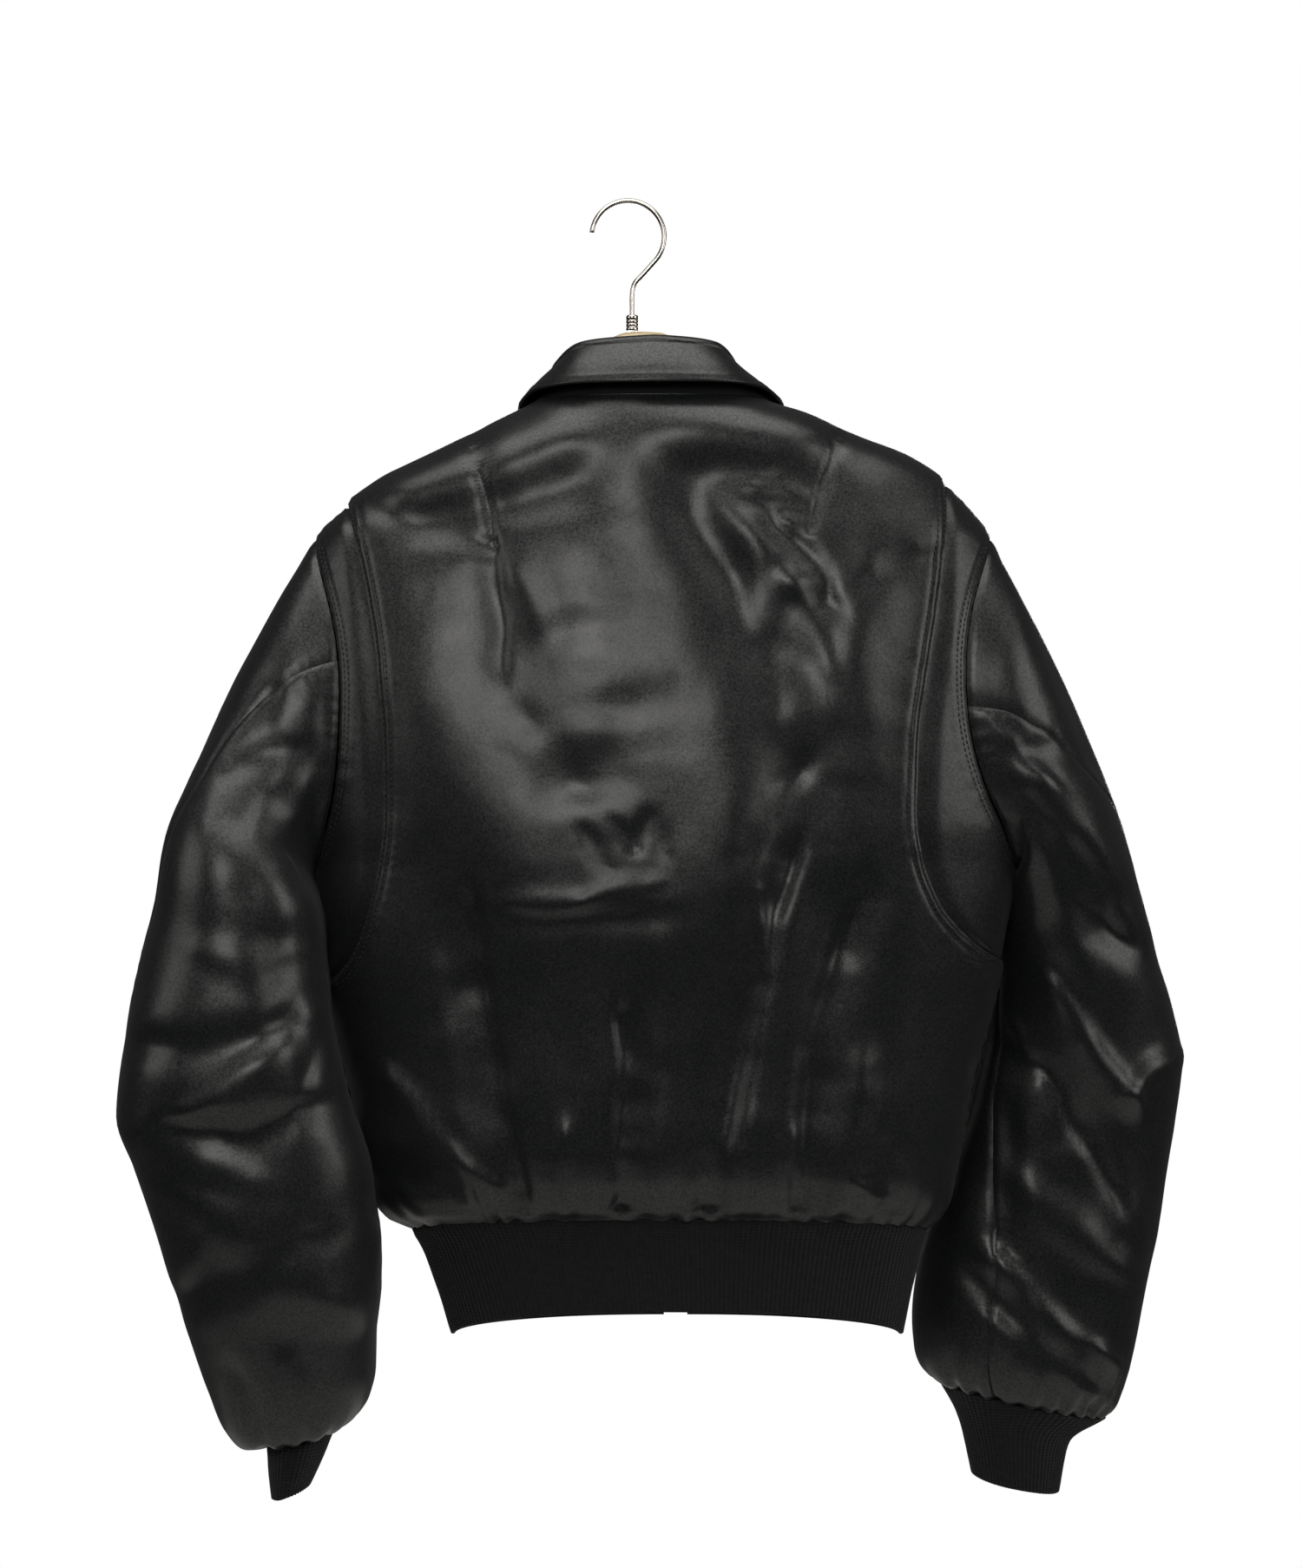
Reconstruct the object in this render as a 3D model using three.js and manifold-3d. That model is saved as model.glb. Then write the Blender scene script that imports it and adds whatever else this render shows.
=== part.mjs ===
// Satin flight jacket hanging on a coat hanger. Millimetres, +Z up.
// +Y is the way a wearer would face and +X is the wearer's right, so the back lies at -Y.
// The origin is the underside of the hook's crown, where a rail carries the hanger.
import * as THREE from 'three';
import { mergeVertices } from 'three/addons/utils/BufferGeometryUtils.js';
import Module from 'manifold-3d';

const wasm = await Module();
wasm.setup();

// Wall thicknesses and clearances
const CLOTH_WALL = 2.0;
const RIB_WALL = 3.0;
const COLLAR_WALL = 2.4;
const SEAM_GAP = 0.44;
const CLEARANCE = 0.3;

// Levels are distances below the origin, measured where the surface meets the side plane Y = 0.
const NECK = 130;
const SHOULDER_TIP = 219;
const ARMPIT = 430;
const HEM_SEAM = 668;
const HEM_BOTTOM = 736;

const DEGREES = Math.PI / 180;
const SQUARENESS = 2.3;      // exponent of the rings: 2 is an ellipse, more is boxier
const ARMHOLE_OPENING = 35;  // degrees that the armhole cuts into the back and the front
const ARMHOLE_STEP = 18;     // degrees round the armhole between the torso's rows

// Torso rings: side edges as x, depths of the back and front from the side plane,
// and how far the ring rises at the centre back or drops at the centre front.
const TORSO = curves(['down', 'left', 'right', 'back', 'front', 'backRise', 'frontDrop'], [
  [130, -59, 94, 50, 62, 0, 55],
  [150, -96, 145, 57, 66, 0, 48],
  [167, -131, 183, 61, 68, 0, 42],
  [184, -161, 208, 64, 69, 0, 36],
  [201, -184, 225, 66, 70, 0, 31],
  [219, -202, 238, 69, 71, 0, 26],
  [260, -214, 247, 74, 73, 0, 17],
  [330, -220, 256, 81, 77, 0, 6],
  [400, -208, 258, 86, 80, 0, 0],
  [430, -199, 252, 87, 81, 0, 0],
  [500, -194, 243, 88, 82, 0, 0],
  [545, -189, 236, 89, 83, 1, 0],
  [572, -183, 229, 89, 83, 2, 0],
  [609, -173, 221, 88, 83, 5, 0],
  [632, -166, 216, 84, 81, 7, 0],
  [648, -164, 212, 78, 76, 10, 0],
  [660, -155, 205, 71, 70, 12, 0],
  [668, -140, 197, 65, 64, 14, 0],
  [702, -124, 187, 60, 60, 19, -2],
  [736, -113, 180, 58, 58, 23, -4],
]);

// Centre back and centre front line, as x
const MIDDLE = curves(['down', 'x'], [[130, 19], [260, 18], [430, 24], [668, 30], [736, 33]]);

// Folded edges of the centre back panel, as x; they start on the shoulder and end on the side seam.
const BACK_EDGE_LEFT = curves(['down', 'x'], [
  [195, -180], [206, -176], [225, -171], [261, -163], [306, -156], [355, -153], [400, -153],
  [433, -156], [463, -163], [484, -171], [500, -183], [509, -193],
]);
const BACK_EDGE_RIGHT = curves(['down', 'x'], [
  [180, 206], [195, 205], [216, 204], [267, 199], [306, 193], [346, 187], [375, 185], [398, 184],
  [423, 187], [453, 198], [473, 215], [486, 232], [493, 245],
]);
const BACK_EDGE_SPAN = { left: [195, 509], right: [180, 493] };
const EDGE_LIFT = CLOTH_WALL + 0.9;  // the folded edge lies on the gusset
const EDGE_FLAT = 15;                // stretch of the edge that is fully lifted
const EDGE_RAMP = 26;                // stretch over which the lift dies away
const GUSSET_TUCK = 11;              // how far the gusset runs in under the back panel
const GUSSET_SINK = 2.3;             // how deep it is pressed there
const GUSSET_RAMP = 6;               // degrees over which it comes up beside the edge

// Sleeve rings: the outer and inner edge as seen from the back, the middle's depth and the half depth
const RING_COLUMNS = ['ring', 'outerX', 'outerZ', 'innerX', 'innerZ', 'middleY', 'halfDepth'];
const SLEEVE_LEFT = curves(RING_COLUMNS, [
  [0, -202, -219, -199, -430, 0, 50],
  [1, -219, -249, -204, -434, -3, 54],
  [2, -245, -298, -205, -440, -7, 58],
  [3, -268, -345, -202.5, -447, -16, 61],
  [4, -287, -398, -198, -457, -31, 62],
  [5, -298, -450, -193, -476, -43, 61],
  [6, -308, -491, -190, -504, -50, 60],
  [7, -317, -535, -184, -537, -53, 59],
  [8, -322, -580, -176, -572, -55, 58],
  [9, -311, -618, -168, -604, -53, 57],
  [10, -302, -647, -160, -636, -50, 57],
  [11, -294, -673, -156, -668, -46, 57],
  [12, -286, -701, -156, -699, -41, 57],
  [13, -278, -731, -159, -728, -34, 57],
  [14, -268, -762, -160, -753, -30, 56],
  [15, -257, -790, -165, -772, -27, 52],
  [16, -244, -802, -174, -784, -25, 46],
  [17, -231, -802, -186, -791, -24, 38],
]);
const SLEEVE_RIGHT = curves(RING_COLUMNS, [
  [0, 238, -219, 252, -430, 0, 50],
  [1, 252, -249, 262, -433, 0, 53],
  [2, 276, -295, 259, -437, 4, 56],
  [3, 299, -342, 254, -444, 14, 60],
  [4, 321, -393, 250, -455, 27, 61],
  [5, 338, -445, 245, -472, 38, 61],
  [6, 352, -491, 243, -497, 45, 61],
  [7, 363, -528, 238, -526, 50, 60],
  [8, 369, -563, 231, -561, 53, 59],
  [9, 365, -601, 222, -596, 54, 58],
  [10, 359, -639, 212, -631, 54, 57],
  [11, 353, -677, 202, -667, 52, 57],
  [12, 346, -711, 194, -700, 52, 57],
  [13, 340, -744, 191, -730, 52, 56],
  [14, 335, -766, 193, -752, 52, 54],
  [15, 330, -781, 197, -764, 52, 51],
  [16, 326, -791, 202, -770, 52, 47],
  [17, 320, -798, 208, -775, 52, 43],
]);
const SLEEVE_END = 17;
const ARMHOLE_BLEND = 3;  // rings over which the sleeve leaves the armhole's own shape

// Sleeve seams as turns round the sleeve: 0 is the outer edge, 90 the back, 180 the inner edge
const SEAMS_LEFT = curves(['ring', 'elbow', 'underarm'], [
  [0, 76, 180], [1, 70, 180], [2, 57, 180], [4, 34, 180], [6, 8, 182], [9, -16, 184], [13, -26, 186],
  [17, -30, 186],
]);
const SEAMS_RIGHT = curves(['ring', 'elbow', 'underarm'], [
  [0, 92, 180], [1.5, 81, 179], [2.6, 60, 176], [3.4, 40, 174], [4.2, 10, 171], [6, -20, 160],
  [8, -34, 146], [10, -40, 126], [12, -44, 110], [17, -46, 110],
]);

// Cuff rings; the first stands just inside the sleeve's last ring
const CUFF_LEFT = curves(RING_COLUMNS, [
  [0, -230, -802.3, -187, -791.5, -24, 37],
  [1, -229, -819, -194, -809, -24, 36],
  [2, -227, -835, -202, -827, -24, 34],
]);
const CUFF_RIGHT = curves(RING_COLUMNS, [
  [0, 319, -798.4, 209, -775.6, 52, 42],
  [1, 295, -814, 221, -799, 52, 36],
  [2, 288, -848, 230, -837, 52, 31],
]);

// Folds: a soft ridge (height above 0) or trough (below 0) along the line from one end to the other
const FOLD_COLUMNS = ['fromX', 'fromZ', 'toX', 'toZ', 'height', 'width'];
const BACK_FOLDS = rowsOf(FOLD_COLUMNS, [
  [-101, -157, -83, -228, -3.2, 9],
  [-83, -228, -77, -296, -3.0, 14],
  [139, -152, 119, -214, -3.0, 9],
  [53, -206, 94, -341, -4.0, 18],
  [-30, -260, -10, -420, 3.0, 34],
  [140, -300, 132, -420, 3.0, 22],
  [-95, -461, -65, -633, -5.5, 13],
  [-118, -500, -96, -628, 3.0, 12],
  [-3, -526, -5, -652, -5.0, 11],
  [24, -480, 18, -645, 3.2, 12],
  [104, -430, 55, -644, -6.0, 14],
  [84, -520, 78, -640, 3.0, 11],
  [147, -452, 111, -636, -6.0, 14],
  [150, -560, 136, -640, 3.2, 11],
  [-145, -566, -88, -628, 3.5, 11],
  [-132, -628, -100, -652, -3.5, 9],
  [-36, -600, -38, -650, 3.0, 11],
  [168, -600, 172, -648, -3.5, 10],
]);
const FRONT_FOLDS = rowsOf(FOLD_COLUMNS, [
  [-60, -300, -95, -430, -3.5, 20],
  [100, -300, 136, -430, -3.5, 20],
  [-120, -470, -84, -632, -5.0, 14],
  [156, -470, 120, -632, -5.0, 14],
  [-40, -540, -30, -640, -4.5, 12],
  [78, -540, 68, -640, -4.5, 12],
  [-62, -560, -58, -640, 3.0, 11],
  [98, -560, 94, -640, 3.0, 11],
  [-128, -600, -116, -648, 3.0, 11],
  [170, -600, 160, -648, 3.0, 11],
]);
const SLEEVE_LEFT_FOLDS = rowsOf(FOLD_COLUMNS, [
  [-235, -448, -205, -520, -4.0, 16],
  [-262, -566, -205, -505, 4.5, 14],
  [-300, -540, -215, -530, -3.5, 14],
  [-275, -590, -200, -580, -5.0, 14],
  [-318, -590, -232, -622, 3.5, 14],
  [-255, -645, -185, -700, 3.0, 18],
  [-272, -700, -190, -660, -3.0, 15],
  [-242, -748, -226, -792, -3.0, 9],
  [-212, -742, -204, -776, 3.0, 9],
]);
const SLEEVE_RIGHT_FOLDS = rowsOf(FOLD_COLUMNS, [
  [262, -400, 318, -470, -4.5, 16],
  [272, -440, 300, -540, 3.5, 16],
  [280, -510, 330, -580, 4.5, 14],
  [330, -560, 362, -570, 3.5, 12],
  [255, -550, 330, -670, -4.5, 15],
  [262, -640, 322, -690, 3.5, 15],
  [246, -690, 316, -752, 3.5, 15],
  [230, -700, 280, -770, -3.0, 12],
  [300, -750, 306, -786, -3.0, 9],
]);
const HEM_FADE = 16;   // the gathers lie flat where they are sewn to a rib
const SIDE_FADE = 14;   // degrees of the torso over which folds die away at a side seam or armhole
const SLEEVE_FADE = 1.2;

// Collar: stand up to a rolled fold, then a leaf that falls outside, by angle round the neck
const COLLAR = curves(['angle', 'foldOut', 'foldZ', 'edgeAngle', 'edgeDown', 'edgeOut', 'edgeUp'], [
  [0, -5, -96, 0, 130, 11, 7],
  [35, -7, -99, 35, 130, 10, 6.5],
  [60, -11, -108, 60, 131, 6, 6],
  [90, -14, -118, 90, 134, 2.5, 3.2],
  [120, -11, -136, 119, 140, 2.5, 3.4],
  [150, -7, -156, 145.5, 152, 3, 3],
  [174, -4, -170, 164, 178, 3.2, 2.4],
]);
const COLLAR_END = 174;
const COLLAR_ROLL = 3.4;
const COLLAR_LEAN = { fold: 10, edge: 5, lift: 1.6 };  // how far the right half leans in

// Zip on the centre front
const ZIP = { halfTape: 7.2, halfChain: 3, chainFoot: 3.4, chainRise: 1.4, tape: 1.6, level: 150 };
const ZIP_ROWS = [NECK + 1, 150, 171, 195, 219, 260, 330, 400, 463, 528, 588, 636, 659, HEM_SEAM, 702,
  HEM_BOTTOM - 3];
const FRONT_EDGE = ZIP.halfTape + 2 * CLEARANCE;
const SLIDER = { halfWidth: 5, halfLength: 6.5, plate: 1.6, earGap: 2.5, ear: 1.2, halfEar: 2.2,
  earPast: 1.6, root: 0.2 };
const PULL = { pin: 0.8, bore: 1.15, knuckle: 1.9, halfKnuckle: 2, standoff: 5.1, halfWidth: 3.6,
  neck: 3.2, shoulder: 5.5, thickness: 1.6, length: 24, holeRadius: 1.6, holeUp: 4.4 };

// Hanger
const HOOK = { wire: 1.6, radius: 23.6, centreX: 1.6, tip: 174, end: -44, shaftX: 4.4, foot: -83.4 };
const HOOK_NECK = rowsOf(['x', 'z'], [[11.6, -46.2], [6, -52.5], [4.4, -60], [4.4, -70], [4.4, -83.4]]);
const FERRULE = { bore: 1.9, radius: 4, bevel: 1, top: -73 };
const HANGER = { left: -172, right: 181, neckLeft: -62, neckRight: 100 };
const HANGER_SEAT = 0.9;  // clearance under the shoulder's cloth
const HANGER_SECTION = curves(['x', 'halfThick', 'halfHigh'], [
  [-172, 7, 6], [-140, 15, 12], [-80, 13, 14], [-40, 9, 15], [4, 8, 15], [50, 9, 15],
  [90, 13, 14], [150, 15, 12], [181, 7, 6],
]);
const HANGER_NECK = curves(['x', 'top'], [
  [-62, -138], [-52, -134], [-44, -127], [-32, -114], [-20, -99], [-11, -88], [4, -83],
  [26, -84], [38, -95], [48, -106], [58, -119], [68, -130], [78, -138], [88, -142], [100, -145],
]);

const MATERIALS = {
  satin: new THREE.MeshStandardMaterial({ color: 0x1d1f20, roughness: 0.42, metalness: 0.0 }),
  rib: new THREE.MeshStandardMaterial({ color: 0x141617, roughness: 0.95, metalness: 0.0 }),
  zip: new THREE.MeshStandardMaterial({ color: 0x2a2b2c, roughness: 0.5, metalness: 0.6 }),
  steel: new THREE.MeshStandardMaterial({ color: 0xb9b2a8, roughness: 0.25, metalness: 1.0 }),
  wood: new THREE.MeshStandardMaterial({ color: 0xb59a6a, roughness: 0.4, metalness: 0.0 }),
};

// Tables and curves

function rowsOf(columns, rows) {
  return rows.map((row) => Object.fromEntries(columns.map((name, i) => [name, row[i]])));
}

// A smooth curve through the values that never overshoots them and is held past both ends
function curveThrough(at, value) {
  const last = at.length - 1;
  const step = at.slice(1).map((next, i) => next - at[i]);
  const slope = step.map((width, i) => (value[i + 1] - value[i]) / width);
  const tangent = at.map((_, i) => {
    if (i === 0 || i === last) return slope[Math.min(i, last - 1)];
    if (slope[i - 1] * slope[i] <= 0) return 0;
    const near = 2 * step[i] + step[i - 1];
    const far = step[i] + 2 * step[i - 1];
    return (near + far) / (near / slope[i - 1] + far / slope[i]);
  });
  return (wanted) => {
    const here = THREE.MathUtils.clamp(wanted, at[0], at[last]);
    let i = 0;
    while (i < last - 1 && here > at[i + 1]) i += 1;
    const s = (here - at[i]) / step[i];
    const pull = s * (1 - s) * step[i];
    const ease = s * s * (3 - 2 * s);
    return value[i] + (value[i + 1] - value[i]) * ease
      + pull * ((1 - s) * tangent[i] - s * tangent[i + 1]);
  };
}

// One curve for each column after the first, which holds the place along the curve
function curves(columns, rows) {
  const at = rows.map((row) => row[0]);
  const named = columns.slice(1).map((name, i) => [name, curveThrough(at, rows.map((row) => row[i + 1]))]);
  return Object.fromEntries(named);
}

function steps(from, to, count) {
  return Array.from({ length: count + 1 }, (_, i) => THREE.MathUtils.lerp(from, to, i / count));
}

// Signed power that turns a circle's sine and cosine into the boxier ring
function bend(value) {
  return Math.sign(value) * Math.abs(value) ** (2 / SQUARENESS);
}

function easeIn(value) {
  return THREE.MathUtils.smoothstep(value, 0, 1);
}

// Surfaces

function torso(angle, down) {
  const turn = angle * DEGREES;
  const facing = Math.cos(turn);
  const depth = facing > 0 ? TORSO.back(down) : TORSO.front(down);
  const lean = facing > 0 ? TORSO.backRise(down) * facing : -TORSO.frontDrop(down) * (-facing) ** 1.5;
  const x = MIDDLE.x(down) + bend(Math.sin(turn)) * halfWidth(angle, down);
  return new THREE.Vector3(x, -bend(facing) * depth, lean - down);
}

// Distance from the centre line to the side edge that an angle lies toward
function halfWidth(angle, down) {
  return angle < 0 ? MIDDLE.x(down) - TORSO.left(down) : TORSO.right(down) - MIDDLE.x(down);
}

function torsoNormal(angle, down) {
  const above = Math.max(down - 1.5, NECK);
  const below = Math.min(down + 1.5, HEM_BOTTOM);
  const across = torso(angle + 1, down).sub(torso(angle - 1, down));
  const along = torso(angle, below).sub(torso(angle, above));
  return along.cross(across).normalize();
}

// Angle at which the torso reaches a given x on its back
function backAngle(x, down) {
  const across = x - MIDDLE.x(down);
  return angleAt(Math.abs(across), halfWidth(across, down));
}

// Angle from the centre line at which a ring of this half width is a given distance across
function angleAt(across, half) {
  return Math.asin(Math.min(1, across / half) ** (SQUARENESS / 2)) / DEGREES;
}

// Place on the torso of the armhole, by the turn round it from the shoulder over the back
function armhole(side, turn) {
  const fall = (1 - Math.cos(turn * DEGREES)) / 2;
  return {
    angle: side * (90 - ARMHOLE_OPENING * Math.sin(turn * DEGREES)),
    down: THREE.MathUtils.lerp(SHOULDER_TIP, ARMPIT, fall),
  };
}

// Angle of the seam at the side: the shoulder seam, the armhole's edge or the side seam
function sideAngle(down, facing) {
  const fall = THREE.MathUtils.clamp((down - SHOULDER_TIP) / (ARMPIT - SHOULDER_TIP), 0, 1);
  const turn = Math.acos(1 - 2 * fall);
  return 90 - facing * ARMHOLE_OPENING * Math.sin(turn);
}

// A ring round an arm at a turn in degrees, from a table of rings
function armRing(rings, turn, ring) {
  const reach = bend(Math.cos(turn * DEGREES)) / 2;
  const depth = bend(Math.sin(turn * DEGREES));
  const outer = 0.5 + reach;
  const inner = 0.5 - reach;
  return new THREE.Vector3(
    rings.outerX(ring) * outer + rings.innerX(ring) * inner,
    rings.middleY(ring) - rings.halfDepth(ring) * depth,
    rings.outerZ(ring) * outer + rings.innerZ(ring) * inner,
  );
}

function sleeve(arm, turn, ring) {
  const point = armRing(arm.rings, turn, ring);
  if (ring >= ARMHOLE_BLEND) return point;
  const hole = onArmhole(turn, (corner) => {
    const place = armhole(arm.side, corner);
    return torso(place.angle, place.down);
  });
  const change = hole.sub(armRing(arm.rings, turn, 0));
  return point.addScaledVector(change, (1 - ring / ARMHOLE_BLEND) ** 2);
}

// The torso's panels are straight between their rows, and the sleeve follows them there
function onArmhole(turn, at) {
  const corner = Math.floor(turn / ARMHOLE_STEP) * ARMHOLE_STEP;
  return at(corner).lerp(at(corner + ARMHOLE_STEP), (turn - corner) / ARMHOLE_STEP);
}

function tubeNormal(surface, turn, ring, lastRing) {
  const above = Math.max(ring - 0.2, 0);
  const below = Math.min(ring + 0.2, lastRing);
  const across = surface(turn + 2, ring).sub(surface(turn - 2, ring));
  const along = surface(turn, below).sub(surface(turn, above));
  const normal = along.cross(across).normalize();
  const opposite = surface(turn, ring).sub(surface(turn + 180, ring));
  return normal.dot(opposite) < 0 ? normal.negate() : normal;
}

// The torso and the sleeve meet at an angle, so their walls share one mitred direction there
function armholeNormal(arm, turn) {
  return onArmhole(turn, (corner) => {
    const hole = armhole(arm.side, corner);
    const body = torsoNormal(hole.angle, hole.down);
    const tube = tubeNormal((t, r) => sleeve(arm, t, r), corner, 0, SLEEVE_END);
    const middle = body.clone().add(tube).normalize();
    return middle.multiplyScalar(1 / Math.max(middle.dot(body), 0.8));
  });
}

// Folds

function relief(folds, x, z) {
  return folds.reduce((total, fold) => {
    const runX = fold.toX - fold.fromX;
    const runZ = fold.toZ - fold.fromZ;
    const along = ((x - fold.fromX) * runX + (z - fold.fromZ) * runZ) / (runX ** 2 + runZ ** 2);
    const nearest = THREE.MathUtils.clamp(along, 0, 1);
    const off = Math.hypot(x - fold.fromX - nearest * runX, z - fold.fromZ - nearest * runZ);
    return total + fold.height * Math.exp(-((off / fold.width) ** 2));
  }, 0);
}

function torsoRelief(point, angle, down) {
  const facing = Math.cos(angle * DEGREES);
  const side = facing > 0 ? sideAngle(down, 1) - Math.abs(angle) : Math.abs(angle) - sideAngle(down, -1);
  const ends = easeIn((HEM_SEAM - down) / HEM_FADE) * easeIn((down - NECK) / HEM_FADE);
  return easeIn(side / SIDE_FADE) * ends * relief(facing > 0 ? BACK_FOLDS : FRONT_FOLDS, point.x, point.z);
}

function sleeveRelief(arm, point, turn, ring) {
  const away = easeIn(Math.abs(Math.sin(turn * DEGREES)) / 0.5) * easeIn(ring / 3);
  return away * easeIn((SLEEVE_END - ring) / SLEEVE_FADE) * relief(arm.folds, point.x, point.z);
}

// How far the centre back panel is lifted near its folded edge
function edgeLift(point, side, down) {
  const [from, to] = side < 0 ? BACK_EDGE_SPAN.left : BACK_EDGE_SPAN.right;
  const edge = torso(side * backEdgeAngle(side, down), down);
  const past = Math.max(from - down, down - to, 0);
  const away = Math.hypot(edge.distanceTo(point), past);
  return EDGE_LIFT * easeIn(1 - (away - EDGE_FLAT) / EDGE_RAMP);
}

function backEdgeAngle(side, down) {
  const [from, to] = side < 0 ? BACK_EDGE_SPAN.left : BACK_EDGE_SPAN.right;
  const edge = side < 0 ? BACK_EDGE_LEFT : BACK_EDGE_RIGHT;
  return down <= from || down >= to ? 90 : backAngle(edge.x(down), down);
}

// Meshes

// One closed body from two matching grids of points, [row][column]
function wall(outer, inner, closed) {
  const rows = outer.length;
  const columns = outer[0].length;
  const points = [...outer.flat(), ...inner.flat()];
  const index = [];
  const at = (layer, row, column) => layer * rows * columns + row * columns + (column % columns);
  const quad = (a, b, c, d) => index.push(a, b, c, a, c, d);
  const spans = closed ? columns : columns - 1;
  for (let row = 0; row < rows - 1; row += 1) {
    for (let column = 0; column < spans; column += 1) {
      quad(at(0, row, column), at(0, row, column + 1), at(0, row + 1, column + 1), at(0, row + 1, column));
      quad(at(1, row, column), at(1, row + 1, column), at(1, row + 1, column + 1), at(1, row, column + 1));
    }
  }
  for (let column = 0; column < spans; column += 1) {
    const last = rows - 1;
    quad(at(0, 0, column + 1), at(0, 0, column), at(1, 0, column), at(1, 0, column + 1));
    quad(at(0, last, column), at(0, last, column + 1), at(1, last, column + 1), at(1, last, column));
  }
  for (let row = 0; row < rows - 1 && !closed; row += 1) {
    const last = columns - 1;
    quad(at(0, row, 0), at(0, row + 1, 0), at(1, row + 1, 0), at(1, row, 0));
    quad(at(0, row + 1, last), at(0, row, last), at(1, row, last), at(1, row + 1, last));
  }
  return facingOut(points, index);
}

function facingOut(points, index) {
  let volume = 0;
  for (let i = 0; i < index.length; i += 3) {
    const [a, b, c] = [points[index[i]], points[index[i + 1]], points[index[i + 2]]];
    volume += a.dot(new THREE.Vector3().crossVectors(b, c));
  }
  if (volume < 0) {
    for (let i = 0; i < index.length; i += 3) [index[i + 1], index[i + 2]] = [index[i + 2], index[i + 1]];
  }
  const geometry = new THREE.BufferGeometry();
  geometry.setAttribute('position', new THREE.Float32BufferAttribute(points.flatMap((p) => p.toArray()), 3));
  geometry.setIndex(index);
  geometry.computeVertexNormals();
  return geometry;
}

// Draws the borders of a panel in by half a seam, so that neighbours stand a seam apart
function drawIn(outer, inner, borders) {
  const rows = outer.length;
  const columns = outer[0].length;
  const toward = (row, column, nextRow, nextColumn) => {
    const shift = outer[nextRow][nextColumn].clone().sub(outer[row][column]).setLength(SEAM_GAP / 2);
    outer[row][column].add(shift);
    inner[row][column].add(shift);
  };
  for (let row = 0; row < rows; row += 1) {
    if (borders.includes('first')) toward(row, 0, row, 1);
    if (borders.includes('last')) toward(row, columns - 1, row, columns - 2);
  }
  for (let column = 0; column < columns; column += 1) {
    if (borders.includes('top')) toward(0, column, 1, column);
    if (borders.includes('bottom')) toward(rows - 1, column, rows - 2, column);
  }
}

// A torso panel through the given angles on each row
function torsoPanel({ rows, anglesAt, lift, borders }) {
  const outer = [];
  const inner = [];
  for (const down of rows) {
    const angles = anglesAt(down);
    const bases = angles.map((angle) => torso(angle, down));
    const normals = angles.map((angle) => seamNormal(angle, down));
    const tops = bases.map((base, i) => {
      const height = torsoRelief(base, angles[i], down) + lift(base, angles[i], down);
      return base.clone().addScaledVector(normals[i], height);
    });
    outer.push(tops);
    inner.push(tops.map((top, i) => top.clone().addScaledVector(normals[i], -CLOTH_WALL)));
  }
  drawIn(outer, inner, borders);
  return wall(outer, inner, false);
}

function seamNormal(angle, down) {
  if (down <= SHOULDER_TIP || down >= ARMPIT) return torsoNormal(angle, down);
  const facing = Math.abs(angle) < 90 ? 1 : -1;
  const seam = sideAngle(down, facing);
  if (Math.abs(Math.abs(angle) - seam) > 0.01) return torsoNormal(angle, down);
  const fall = (down - SHOULDER_TIP) / (ARMPIT - SHOULDER_TIP);
  const turn = facing * Math.acos(1 - 2 * fall) / DEGREES;
  return armholeNormal(angle < 0 ? ARMS.left : ARMS.right, turn);
}

// Rows of the torso: close together on the shoulder, at the armhole's ends and over the hem
const SHOULDER_ROWS = [NECK, 140, 152, 166, 180, 195, 207];
const ARMHOLE_ROWS = steps(0, 180, 180 / ARMHOLE_STEP).map((turn) => armhole(1, turn).down);
const LOWER_ROWS = [448, 468, 484, 493, 501, 509, 532, 556, 580, 604, 626, 644, 658, HEM_SEAM];
const BODY_ROWS = [...SHOULDER_ROWS, ...ARMHOLE_ROWS, ...LOWER_ROWS];

const ARMS = {
  left: { side: -1, rings: SLEEVE_LEFT, seams: SEAMS_LEFT, cuff: CUFF_LEFT, folds: SLEEVE_LEFT_FOLDS },
  right: { side: 1, rings: SLEEVE_RIGHT, seams: SEAMS_RIGHT, cuff: CUFF_RIGHT, folds: SLEEVE_RIGHT_FOLDS },
};

const BACK_CORE = 40;  // degrees of the back, each way, whose columns keep their place on every row

function backPanel() {
  const toLeftEdge = (down) => steps(-backEdgeAngle(-1, down), -BACK_CORE, 6).slice(0, -1);
  const toRightEdge = (down) => steps(BACK_CORE, backEdgeAngle(1, down), 6).slice(1);
  return torsoPanel({
    rows: BODY_ROWS,
    anglesAt: (down) => [...toLeftEdge(down), ...steps(-BACK_CORE, BACK_CORE, 16), ...toRightEdge(down)],
    lift: (base, angle, down) => edgeLift(base, Math.sign(angle) || 1, down),
    borders: ['first', 'last', 'top', 'bottom'],
  });
}

function gusset(side) {
  const [from, to] = side < 0 ? BACK_EDGE_SPAN.left : BACK_EDGE_SPAN.right;
  const tucked = (down) => backEdgeAngle(side, down) - GUSSET_TUCK / halfWidth(side, down) / DEGREES;
  return torsoPanel({
    rows: BODY_ROWS.filter((down) => down >= from && down <= to),
    anglesAt: (down) => steps(side * tucked(down), side * sideAngle(down, 1), 5),
    lift: (base, angle, down) => (
      -GUSSET_SINK * easeIn(1 - (Math.abs(angle) - backEdgeAngle(side, down)) / GUSSET_RAMP)),
    borders: ['last'],
  });
}

function frontPanel(side) {
  const centre = (down) => 180 - angleAt(FRONT_EDGE, halfWidth(side, down));
  return torsoPanel({
    rows: BODY_ROWS,
    anglesAt: (down) => steps(side * sideAngle(down, -1), side * centre(down), 11),
    lift: () => 0,
    borders: ['first', 'top', 'bottom'],
  });
}

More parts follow.
